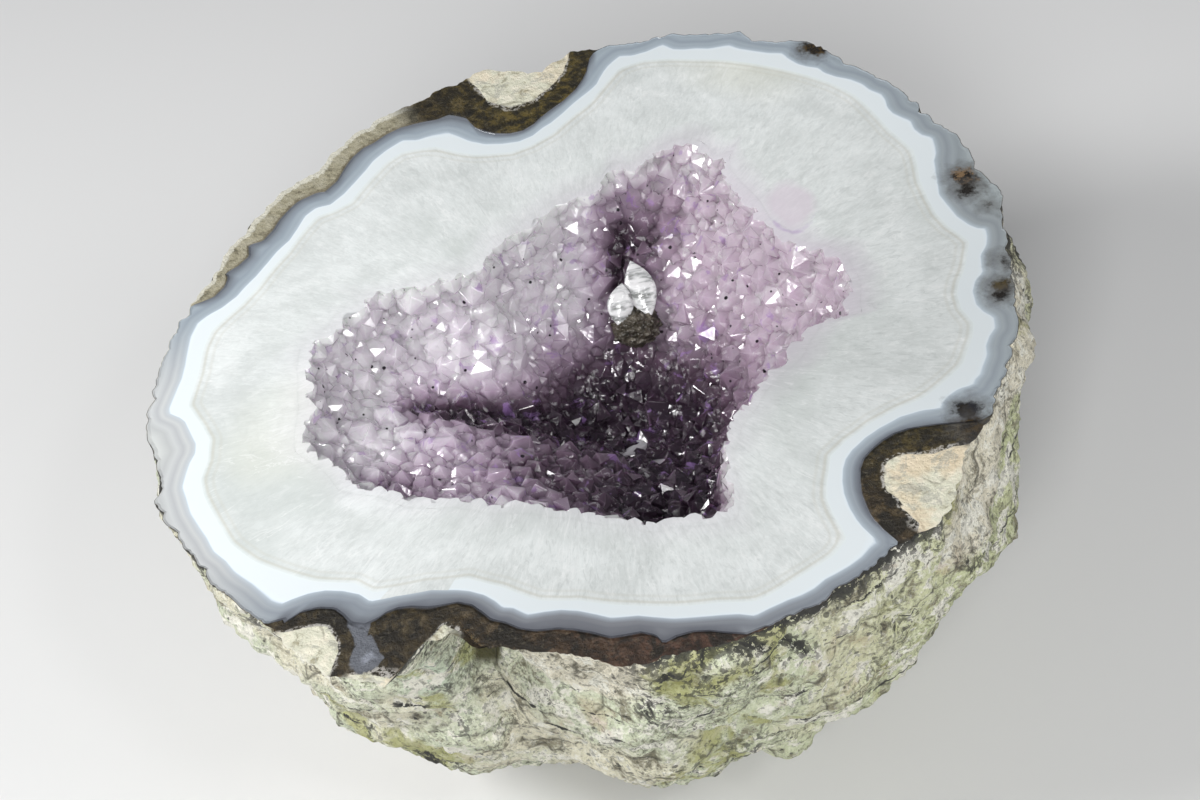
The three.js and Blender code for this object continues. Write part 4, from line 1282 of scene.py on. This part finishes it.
@dataclass
class Druse:
    """The crust of amethyst points on the hollow's wall, one fused solid cut off at the sawn face."""

    form: StoneForm
    amethyst: bpy.types.Material
    sawn: bpy.types.Material
    gap: float = 0.004
    thickness: float = 1.6
    edge_thickness: float = 1.5
    segments: int = CRUST_SEGMENTS
    rows: int = 19
    lean: float = 0.36
    rooted: float = 2.2
    seed: int = 5
    tip: tuple[float, float] = (0.5, 0.85)
    worn: float = 0.035
    sizes: Sequence[CrystalSize] = (
        CrystalSize(5.6, (2.7, 3.6), (0.0, 0.7), 1400, worn=True, deeper_than=3.5),
        CrystalSize(3.3, (2.1, 2.8), (0.0, 0.4), 9000, deeper_than=0.8),
        CrystalSize(1.8, (1.25, 1.75), (0.0, 0.2), 32000),
    )
    # Dabs of painted shade; those with a negative amount lighten instead.
    shade_dabs: Sequence[ShadeDab] = (
        ShadeDab(9, 53, 6.5, 17.0), ShadeDab(19, 57, 8.0, 16.0), ShadeDab(-33, 19, 5.0, 13.0),
        ShadeDab(-23, 18, 6.0, 16.0), ShadeDab(-12, 20, 7.0, 8.0), ShadeDab(12, -8, 9.0, 20.0),
        ShadeDab(-14, -3, 9.0, 6.0), ShadeDab(21, 24, 9.0, 4.0), ShadeDab(36, 34, 12.0, 7.0),
        ShadeDab(-3, 46, 6.0, -8.0), ShadeDab(-21, 37, 9.0, -12.0), ShadeDab(-50, 16, 12.0, -22.0),
        ShadeDab(-38, -9, 8.0, 9.0), ShadeDab(6, 22, 8.0, 8.0), ShadeDab(24, 42, 12.0, 4.0),
    )
    standouts: Sequence[Standout] = (
        Standout(-41, -1, 2.6, 4.6, -0.1, -0.1), Standout(-34, 1, 2.8, 5.0, 0.1, 0.1),
        Standout(-26, 1, 3.2, 5.6, 0.0, 0.2), Standout(-19, 1, 3.4, 6.0, 0.15, 0.0),
        Standout(-11, -1, 3.3, 6.2, -0.1, 0.1), Standout(-3, -2, 3.5, 7.0, 0.1, 0.15),
        Standout(4, -8, 3.2, 6.2, 0.2, 0.0),
    )

    def build(self) -> bpy.types.Object:
        """Builds the crust.

        Returns:
            The object, one closed mesh.
        """
        crystals = self._crystals()
        log.info("druse: %d crystals", len(crystals))
        mass = self._joined(crystals)
        combine(mass, self._lining("lining"), "INTERSECT")
        crust = self._lining("amethyst_crust")
        combine(crust, self._inner(), "DIFFERENCE")
        combine(crust, mass, "UNION")
        apply_modifier(crust, "DECIMATE", decimate_type="DISSOLVE", angle_limit=math.radians(0.4))
        crust.data.validate()
        crust.data.polygons.foreach_set("use_smooth", [False] * len(crust.data.polygons))
        self._dress(crust)
        return crust

    def _dress(self, crust: bpy.types.Object) -> None:
        """Gives the crust its two materials, sawn where the saw crossed it, and the values they read."""
        crust.data.materials.clear()
        crust.data.materials.append(self.amethyst)
        crust.data.materials.append(self.sawn)
        top = (STONE_HEIGHT - 0.05) * MM
        sawn = [face.normal.z > 0.99 and face.center.z > top for face in crust.data.polygons]
        crust.data.polygons.foreach_set("material_index", np.array(sawn, np.int32))
        outgrowth = self._outgrowth(crust)
        places = points_of(crust)
        away = places[:, :2] + np.array(BOX_MIDDLE) - np.array(RAY_MIDDLE)
        angle = np.arctan2(away[:, 1], away[:, 0])
        add_values(crust, "outgrowth", outgrowth)
        # Painted shade, which the amethyst material darkens the crust by.
        add_values(crust, "painted_shade", self._painted_shade_at(places))
        add_values(crust, "rosy", smoothstep(2.0, 26.0, places[:, 0]))
        add_values(crust, "brink", smoothstep(4.5, 0.0, STONE_HEIGHT - places[:, 2]))
        add_values(crust, "layer", np.full(len(places), 5.0))
        add_values(crust, "inward", np.full(len(places), 9.0))
        # The same painted shade on the crust's sawn faces.
        add_values(crust, "side_shade", side_shade_at(angle))
        add_values(crust, "tongue", np.full(len(places), -9.0))
        add_values(crust, "near_hollow", -outgrowth)
        add_values(crust, "lilac_side", lilac_share(angle) + np.minimum(outgrowth * 0.05, 0.4))
        along = np.hypot(away[:, 0], away[:, 1]) * 0.006 - places[:, 2] * 0.006
        add_values(crust, "fibre", np.stack([np.cos(angle), np.sin(angle), along], axis=1))

    def _painted_shade_at(self, places: np.ndarray) -> np.ndarray:
        """Painted shade on places of the crust: more deep down, on the near side and in the cleft, less
        towards the right.
        """
        x = places[:, 0] + BOX_MIDDLE[0]
        y = places[:, 1] + BOX_MIDDLE[1]
        depth = STONE_HEIGHT - places[:, 2]
        near = np.clip(0.26 * (15.0 - y), -6.0, 6.5) * smoothstep(2.0, 8.0, depth)
        right = -0.42 * np.clip(x - 5.0, 0.0, 24.0)
        shade = sum(one.amount * bell(np.hypot(x - one.x, y - one.y), one.spread) for one in self.shade_dabs)
        return (depth + near + right + shade) / 30.0

    def _outgrowth(self, crust: bpy.types.Object) -> np.ndarray:
        """Distance of each of the crust's points from the hollow's wall, in millimetres."""
        angles = np.arange(self.segments) * TURN / self.segments
        steps = 3 * self.rows
        wall = np.concatenate([self.form.hollow_wall(angles, step / steps) for step in range(steps)])
        tree = KDTree(len(wall))
        for number, point in enumerate(wall):
            tree.insert(point, number)
        tree.balance()
        return np.array([tree.find(vertex.co / MM)[2] for vertex in crust.data.vertices])

    def _lining(self, name: str) -> bpy.types.Object:
        """The hollow's space, drawn in a little from its wall and closed at the sawn face."""
        angles = np.arange(self.segments) * TURN / self.segments
        rings = [self.form.hollow_wall(angles, row / self.rows, self.gap) for row in range(self.rows)]
        floor = self.form.hollow_wall(np.zeros(1), 1.0, self.gap)[0]
        return ringed_body(name, rings, rings[0].mean(axis=0), floor)

    def _inner(self) -> bpy.types.Object:
        """What is cut out of the lining to leave a shell, thinnest at the sawn face."""
        angles = np.arange(self.segments) * TURN / self.segments
        grown = smoothstep(0.0, 0.3, np.arange(self.rows) / self.rows)
        insets = self.gap + self.edge_thickness + (self.thickness - self.edge_thickness) * grown
        rings = [self.form.hollow_wall(angles, row / self.rows, insets[row]) for row in range(self.rows)]
        rings = [rings[0] + np.array([0.0, 0.0, above]) for above in (3.0, 1.5)] + rings
        floor = self.form.hollow_wall(np.zeros(1), 1.0, insets[-1])[0]
        return ringed_body("inner", rings, rings[0].mean(axis=0), floor)

    def _normals(self, angles: np.ndarray, down: np.ndarray) -> np.ndarray:
        """Directions out of the wall at some places on it."""
        across = self.form.hollow_wall(angles + 0.03, down) - self.form.hollow_wall(angles - 0.03, down)
        below = (self.form.hollow_wall(angles, np.minimum(down + 0.02, 0.995))
                 - self.form.hollow_wall(angles, np.maximum(down - 0.02, 0.0)))
        normals = np.cross(below, across)
        normals /= np.linalg.norm(normals, axis=1)[:, None] + 1e-12
        middle = self.form.placed(np.array([[RAY_MIDDLE[0], RAY_MIDDLE[1], -6.0]]))[0]
        inward = np.einsum("ij,ij->i", normals, middle - self.form.hollow_wall(angles, down))
        return np.where((inward < 0.0)[:, None], -normals, normals)

    def _crystals(self) -> list[Crystal]:
        """Every crystal, in the row frame, the large ones first."""
        draw = np.random.default_rng(self.seed)
        worn = self._unit_crystal(self.worn)
        sharp = self._unit_crystal(0.0)
        crystals = [self._standing(worn, one, draw) for one in self.standouts]
        places = np.array([self._foot(one) for one in self.standouts])
        for size in self.sizes:
            angles = draw.random(size.tries) * TURN
            down = 1.0 - draw.random(size.tries) ** 0.75
            spots = self.form.hollow_wall(angles, down, self.thickness)
            normals = self._normals(angles, down)
            for spot, normal in zip(spots, normals):
                depth = STONE_HEIGHT - spot[2]
                nearest = np.min(np.sum((places - spot) ** 2, axis=1))
                if depth < size.deeper_than or nearest < size.spacing ** 2:
                    continue
                places = np.vstack([places, spot])
                direction = Vector(normal + (draw.random(3) - 0.5) * 2.0 * self.lean).normalized()
                radius = draw.uniform(*size.radius)
                stem = self.rooted + draw.uniform(*size.stem)
                unit = worn if size.worn else sharp
                crystals.append(self._grown(unit, Vector(spot), direction, radius, stem, draw))
        return crystals

    def _foot(self, one: Standout) -> np.ndarray:
        """Place on the hollow's floor under a standing crystal."""
        depth = self.form.sounded_depth(np.array([one.x]), np.array([one.y]))[0]
        return self.form.placed(np.array([[one.x, one.y, -depth]]))[0]

    def _standing(self, unit: Crystal, one: Standout, draw: np.random.Generator) -> Crystal:
        """One of the large crystals on the crest."""
        direction = Vector((one.lean_x, one.lean_y, 1.0)).normalized()
        return self._grown(unit, Vector(self._foot(one)), direction, one.radius, one.height - one.radius,
                           draw)

    def _grown(self, unit: Crystal, spot: Vector, direction: Vector, radius: float, stem: float,
               draw: np.random.Generator) -> Crystal:
        """One crystal, its corners moved from the unit crystal's to where it grows.

        Args:
            unit: the unit crystal.
            spot: where it leaves the wall, in millimetres.
            direction: the way that it grows.
            radius: from its axis to its edges.
            stem: length of its straight part, with what is in the wall.
            draw: the druse's random numbers.

        Returns:
            The crystal in the row frame.
        """
        corners = unit.corners.copy()
        shoulder = np.abs(corners[:, 2] - 1.0) < 0.15
        tip = corners[:, 2] > 1.5
        order = np.rint(np.degrees(np.arctan2(corners[:, 1], corners[:, 0])) / 60.0).astype(int)
        uneven = draw.uniform(0.05, 0.3) * radius
        corners[:, :2] *= radius
        above = (unit.corners[:, 2] - 1.0) * radius
        height = draw.uniform(*self.tip)
        corners[:, 2] = np.where(unit.corners[:, 2] < 0.5, 0.0, stem + above * np.where(tip, height, 1.0))
        corners[:, 2] += np.where(shoulder, np.where(order % 2 == 0, uneven, -uneven), 0.0)
        corners[tip, :2] += (draw.random(2) - 0.5) * radius * 0.5
        spin = Matrix.Rotation(draw.uniform(0.0, TURN), 3, "Z")
        turn = direction.to_track_quat("Z", "Y").to_matrix() @ spin
        return Crystal(corners @ np.array(turn).T + np.array(spot - direction * self.rooted), unit.faces)

    @staticmethod
    def _unit_crystal(worn: float) -> Crystal:
        """Models the crystal that is copied: a six-sided stem whose top is poked up to a point.

        Args:
            worn: how far its edges are worn back, or 0 for a sharp one.

        Returns:
            The crystal, with a radius of 1, a shoulder at 1 and a tip at 2.
        """
        deselect_all()
        bpy.ops.mesh.primitive_cylinder_add(vertices=6, radius=1.0, depth=1.0, location=(0.0, 0.0, 0.5))
        stem = bpy.context.object
        bpy.ops.object.transform_apply(location=True, rotation=True, scale=True)
        bpy.ops.object.mode_set(mode="EDIT")
        bpy.ops.mesh.select_all(action="DESELECT")
        edit = bmesh.from_edit_mesh(stem.data)
        for face in edit.faces:
            face.select = face.normal.z > 0.5
        bmesh.update_edit_mesh(stem.data)
        bpy.ops.mesh.poke(offset=1.0)
        bpy.ops.object.mode_set(mode="OBJECT")
        if worn:
            apply_modifier(stem, "BEVEL", width=worn, segments=1, limit_method="ANGLE",
                           angle_limit=math.radians(20.0))
        apply_modifier(stem, "TRIANGULATE")
        corners = np.array([vertex.co[:] for vertex in stem.data.vertices])
        faces = [tuple(face.vertices) for face in stem.data.polygons]
        bpy.data.objects.remove(stem)
        return Crystal(corners, faces)

    def _joined(self, crystals: list[Crystal]) -> bpy.types.Object:
        """Fuses the crystals: those that are apart share a mesh, and the meshes are joined in pairs."""
        middles = np.array([one.corners.mean(axis=0) for one in crystals])
        spans = np.array([np.linalg.norm(one.corners - middle, axis=1).max()
                          for one, middle in zip(crystals, middles)])
        sets: list[list[int]] = []
        for number in range(len(crystals)):
            for chosen in sets:
                apart = np.linalg.norm(middles[chosen] - middles[number], axis=1)
                if np.all(apart > spans[chosen] + spans[number]):
                    chosen.append(number)
                    break
            else:
                sets.append([number])
        meshes = [self._batch([crystals[i] for i in chosen]) for chosen in sets]
        log.info("druse: %d batches", len(meshes))
        while len(meshes) > 1:
            for first, second in zip(meshes[::2], meshes[1::2]):
                combine(first, second, "UNION")
            meshes = meshes[::2]
        return meshes[0]

    @staticmethod
    def _batch(crystals: list[Crystal]) -> bpy.types.Object:
        """One mesh of crystals that don't touch."""
        mesh = bpy.data.meshes.new("crystals")
        first = np.cumsum([0] + [len(one.corners) for one in crystals])
        faces = [tuple(corner + start for corner in face)
                 for one, start in zip(crystals, first) for face in one.faces]
        mesh.from_pydata((np.concatenate([one.corners for one in crystals]) * MM).tolist(), [], faces)
        batch = bpy.data.objects.new("crystals", mesh)
        bpy.context.scene.collection.objects.link(batch)
        return batch


@dataclass(frozen=True)
class AmethystFinish:
    """Pale purple crystal, see-through and a little milky, with black specks and deeper streaks, darkened
    by painted shade where little light reaches.
    """

    def build(self, specks: bpy.types.NodeTree) -> bpy.types.Material:
        """Builds the material.

        Args:
            specks: the shared group that scatters specks.

        Returns:
            The material of the druse.
        """
        material, shades, shader = new_material("amethyst")
        place = shades.place()
        grown = shades.attribute("outgrowth")
        broad = shades.noise(place, 45.0, 3.0, 0.5, 0.3)
        veil = shades.noise(place, 230.0, 4.0, 0.6, 0.9)
        wavy = shades.times(broad, 3.0, grown)
        colour = shades.ramp(shades.times(wavy, 0.1), (
            (0.05, (0.93, 0.88, 0.93)), (0.18, (0.92, 0.84, 0.92)), (0.3, (0.89, 0.79, 0.90)),
            (0.6, (0.85, 0.74, 0.87))))
        colour = shades.mix(shades.attribute("rosy"), colour,
                            shades.mix(1.0, colour, (0.70, 0.65, 0.665), "MULTIPLY"))
        cloudy = shades.noise(place, 110.0, 4.0, 0.6, 0.6)
        colour = shades.stain(colour, (0.90, 0.86, 0.91), cloudy, 0.52, 0.7, 0.5)
        # Painted shade: the colour darkened towards black deep down, on the near side and in the cleft,
        # less at the sawn face's brink.
        painted_shade = shades.times(shades.attribute("brink"), -0.35, shades.attribute("painted_shade"))
        painted_shade = shades.times(cloudy, 0.10, shades.less(painted_shade, 0.05))
        shade_tint = shades.ramp(painted_shade, (
            (0.12, (1.0, 1.0, 1.0)), (0.3, (0.90, 0.88, 0.90)), (0.42, (0.68, 0.63, 0.67)),
            (0.58, (0.40, 0.34, 0.39)), (0.72, (0.125, 0.09, 0.115)), (0.9, (0.035, 0.022, 0.033))))
        colour = shades.mix(1.0, colour, shade_tint, "MULTIPLY")
        pale = shades.times(shades.attribute("brink"), shades.times(shades.attribute("rosy"), -0.6, 0.8))
        colour = shades.mix(shades.times(pale, shades.step(cloudy, 0.3, 0.5)), colour, (0.91, 0.885, 0.91))
        frost = shades.noise(place, 420.0, 4.0, 0.7, 0.5)
        colour = shades.stain(colour, (0.30, 0.25, 0.31), frost, 0.42, 0.3, 0.25)
        colour = shades.stain(colour, (0.97, 0.96, 0.97), frost, 0.58, 0.68, 0.35)
        wisps = shades.times(shades.step(veil, 0.6, 0.66), shades.step(grown, 0.8, 2.5))
        colour = shades.mix(shades.times(wisps, 0.5), colour, (0.38, 0.22, 0.54))
        group = shades.node("ShaderNodeGroup", node_tree=specks)
        shades.feed(group.inputs["Vector"], place)
        group.inputs["Scale"].default_value = 480.0
        group.inputs["Size"].default_value = 0.42
        colour = shades.mix(group.outputs["Mask"], colour, (0.02, 0.015, 0.02))
        shades.feed(shader.inputs["Base Color"], colour)
        shades.feed(shader.inputs["Roughness"], shades.times(shades.step(veil, 0.35, 0.6), 0.16, 0.03))
        shader.inputs["IOR"].default_value = 1.54
        shader.inputs["Transmission Weight"].default_value = 0.2
        shader.inputs["Coat Weight"].default_value = 0.5
        shader.inputs["Coat Roughness"].default_value = 0.03
        shader.inputs["Subsurface Weight"].default_value = 0.9
        shader.inputs["Subsurface Radius"].default_value = (1.0, 0.85, 1.0)
        shader.inputs["Subsurface Scale"].default_value = 0.006
        growth = shades.times(shades.cells(place, 700.0), -0.6, shades.noise(place, 520.0, 3.0, 0.6))
        shades.feed(shader.inputs["Normal"], shades.bump(growth, 0.28, 0.0006))
        absorb = shades.node("ShaderNodeVolumeAbsorption")
        absorb.inputs["Color"].default_value = (0.72, 0.58, 0.76, 1.0)
        absorb.inputs["Density"].default_value = 35.0
        output = material.node_tree.nodes["Material Output"]
        material.node_tree.links.new(absorb.outputs["Volume"], output.inputs["Volume"])
        return material


@dataclass(frozen=True)
class CalciteFinish:
    """Glassy white calcite, streaked across by its growth, and the brown grains that it stands on."""

    def build(self) -> bpy.types.Material:
        """Builds the blades' material."""
        material, shades, shader = new_material("calcite_blade")
        place = shades.place()
        streaks = shades.noise(shades.stretched(place, (160.0, 700.0, 900.0)), 1.0, 4.0, 0.6, 0.3)
        colour = shades.ramp(streaks, (
            (0.38, (0.28, 0.29, 0.28)), (0.48, (0.66, 0.67, 0.67)), (0.56, (0.95, 0.95, 0.95))))
        shades.feed(shader.inputs["Base Color"], colour)
        shades.feed(shader.inputs["Roughness"], shades.times(streaks, 0.3, 0.02))
        shades.feed(shader.inputs["Normal"], shades.bump(streaks, 0.5, 0.0006))
        shader.inputs["IOR"].default_value = 1.6
        shader.inputs["Transmission Weight"].default_value = 0.35
        shader.inputs["Coat Weight"].default_value = 0.6
        return material

    def build_foot(self) -> bpy.types.Material:
        """Builds the grains' material."""
        material, shades, shader = new_material("brown_grains")
        place = shades.place()
        grain = shades.cells(place, 1500.0)
        mottle = shades.noise(place, 500.0, 5.0, 0.7)
        colour = shades.ramp(mottle, (
            (0.3, (0.012, 0.010, 0.006)), (0.5, (0.06, 0.05, 0.035)), (0.64, (0.17, 0.15, 0.12)),
            (0.75, (0.5, 0.48, 0.44))))
        shades.feed(shader.inputs["Base Color"], colour)
        shades.feed(shader.inputs["Normal"], shades.bump(grain, 0.9, 0.0006))
        shader.inputs["Roughness"].default_value = 0.35
        return material


@dataclass(frozen=True)
class Blade:
    """A pale blade: its sizes, its turn and tip in degrees, and its middle from the foot's."""

    width: float
    height: float
    thickness: float
    turn: float
    tip: float
    offset: Triple


@dataclass
class PaleCrystals:
    """The pair of pale blades in the cleft, on the lumpy brown foot that they grow from."""

    granular: bpy.types.Material
    calcite: bpy.types.Material
    foot: Triple = (9.2, 40.2, -22.5)
    lump: Triple = (4.9, 4.0, 4.2)
    blades: Sequence[Blade] = (
        Blade(5.8, 11.4, 3.0, -10.0, -50.0, (2.0, 4.0, 5.6)),
        Blade(5.0, 8.2, 3.0, 14.0, -44.0, (-2.3, 1.8, 4.6)),
    )
    striae: int = 9

    def build(self) -> bpy.types.Object:
        """Builds the blades and their foot.

        Returns:
            The object, one closed mesh with the blades' and the foot's materials' faces.
        """
        foot = self._foot()
        for number, blade in enumerate(self.blades):
            combine(foot, self._blade(blade, number), "UNION")
        foot.data.polygons.foreach_set("use_smooth", [True] * len(foot.data.polygons))
        foot.name = "pale_blades"
        return foot

    def _middle(self) -> Vector:
        """Middle of the foot, in metres."""
        return Vector(StoneForm.placed(np.array([self.foot]))[0] * MM)

    def _foot(self) -> bpy.types.Object:
        """The lumpy granular foot."""
        deselect_all()
        bpy.ops.mesh.primitive_ico_sphere_add(subdivisions=5, radius=1.0)
        foot = bpy.context.object
        middle = self._middle()
        for vertex in foot.data.vertices:
            grain = noise.fractal(vertex.co * 3.4, 0.7, 2.2, 4) * 0.16 + noise.noise(vertex.co * 9.0) * 0.07
            vertex.co = middle + Vector(c * s * MM for c, s in zip(vertex.co * (0.9 + grain), self.lump))
        foot.data.materials.append(self.granular)
        foot.data.materials.append(self.calcite)
        return foot

    def _blade(self, blade: Blade, number: int) -> bpy.types.Object:
        """One blade: a disc with blunt bevelled edges, drawn out to a lens and ribbed by growth lines."""
        deselect_all()
        bpy.ops.mesh.primitive_cylinder_add(vertices=28, radius=1.0, depth=blade.thickness,
                                            rotation=(math.pi / 2.0, 0.0, 0.0))
        disc = bpy.context.object
        bpy.ops.object.transform_apply(location=True, rotation=True, scale=True)
        disc.name = f"blade_{number}"
        apply_modifier(disc, "BEVEL", width=0.26, segments=2, limit_method="ANGLE")
        apply_modifier(disc, "REMESH", mode="VOXEL", voxel_size=0.07)
        disc.data.materials.clear()
        disc.data.materials.append(self.granular)
        disc.data.materials.append(self.calcite)
        disc.data.polygons.foreach_set("material_index", [1] * len(disc.data.polygons))
        tipped = Matrix.Rotation(math.radians(blade.tip), 3, "X")
        turn = tipped @ Matrix.Rotation(math.radians(blade.turn), 3, "Y")
        middle = self._middle() + Vector(blade.offset) * MM
        for vertex in disc.data.vertices:
            x, y, z = vertex.co
            rib = math.sin(z * math.pi * self.striae + x * 2.0) * 0.05 * max(0.0, 1.0 - abs(x))
            pinch = math.sqrt(max(1.0 - z * z, 0.03))
            bulge = (1.0 - 0.45 * x * x) * (1.0 - 0.55 * z * z)
            shaped = Vector((x * blade.width / 2.0 * pinch, y * bulge + math.copysign(rib, y) * 2.4,
                             z * blade.height / 2.0))
            vertex.co = middle + turn @ shaped * MM
        return disc


@dataclass
class Studio:
    """A pale floor, soft lights and the camera at the photograph's angle."""

    lens: float = 90.0
    sensor: float = 36.0
    elevation: float = 45.0
    roll: float = 10.0
    distance: float = 0.52356

    def build(self) -> None:
        """Builds the camera, the floor, the lights and the surroundings."""
        self._camera()
        self._floor()
        for name, place, energy, size in (
                ("key", (-0.2, -1.08, 0.88), 10.3, 0.36),
                ("left", (-0.5, -0.1, 0.5), 3.3, 0.18),
                ("fill", (0.5, -0.25, 0.45), 1.25, 0.3),
                ("spark", (0.35, -0.6, 0.9), 0.8, 0.11)):
            self._light(name, place, energy, size)
        world = bpy.data.worlds.new("studio")
        bpy.context.scene.world = world
        world.use_nodes = True
        world.node_tree.nodes["Background"].inputs["Color"].default_value = (0.9, 0.93, 1.0, 1.0)
        world.node_tree.nodes["Background"].inputs["Strength"].default_value = 0.13
        bpy.context.scene.view_settings.view_transform = "Standard"

    def _camera(self) -> None:
        """Looks down at the mark on the sawn face, turned a little about the view."""
        tilt, roll = math.radians(self.elevation), math.radians(self.roll)
        back = Vector((0.0, -math.cos(tilt), math.sin(tilt)))
        right, up = Vector((1.0, 0.0, 0.0)), Vector((0.0, math.sin(tilt), math.cos(tilt)))
        across = right * math.cos(roll) - up * math.sin(roll)
        upward = right * math.sin(roll) + up * math.cos(roll)
        mark = Vector((-BOX_MIDDLE[0], -BOX_MIDDLE[1], STONE_HEIGHT)) * MM
        data = bpy.data.cameras.new("camera")
        data.lens = self.lens
        data.sensor_width = self.sensor
        data.clip_start = 0.01
        camera = bpy.data.objects.new("camera", data)
        bpy.context.scene.collection.objects.link(camera)
        placed = Matrix((across, upward, back)).transposed().to_4x4()
        placed.translation = mark + back * self.distance
        camera.matrix_world = placed
        bpy.context.scene.camera = camera

    def _floor(self) -> None:
        """Lays the floor under the stone."""
        deselect_all()
        bpy.ops.mesh.primitive_plane_add(size=6.0)
        floor = bpy.context.object
        floor.name = "floor"
        material, shades, shader = new_material("floor")
        cloud = shades.noise(shades.place(), 3.0, 2.0)
        shades.feed(shader.inputs["Base Color"], shades.mix(cloud, (0.74, 0.74, 0.74), (0.78, 0.78, 0.77)))
        shader.inputs["Roughness"].default_value = 0.8
        floor.data.materials.append(material)

    def _light(self, name: str, place: Triple, energy: float, size: float) -> None:
        """Hangs one square soft light, aimed at the stone."""
        data = bpy.data.lights.new(name, "AREA")
        data.energy = energy
        data.size = size
        light = bpy.data.objects.new(name, data)
        bpy.context.scene.collection.objects.link(light)
        light.location = place
        aim = Vector((0.0, 0.0, 0.05)) - Vector(place)
        light.rotation_euler = aim.to_track_quat("-Z", "Y").to_euler()


def main() -> None:
    """Builds the geode half and the studio round it, and reports each piece."""
    logging.basicConfig(level=logging.INFO, format="%(name)s: %(message)s")
    Studio().build()
    form = StoneForm()
    specks = speck_group()
    stone = Stone(form).build()
    sawn = SawnFaceFinish().build()
    stone.data.materials.append(sawn)
    stone.data.materials.append(RindFinish().build(specks))
    settle(stone, STONE_NODE)
    crust = Druse(form, AmethystFinish().build(specks), sawn).build()
    settle(crust, CRUST_NODE)
    calcite = CalciteFinish()
    pale = PaleCrystals(calcite.build_foot(), calcite.build()).build()
    settle(pale, PALE_NODE)


if __name__ == "__main__":
    main()
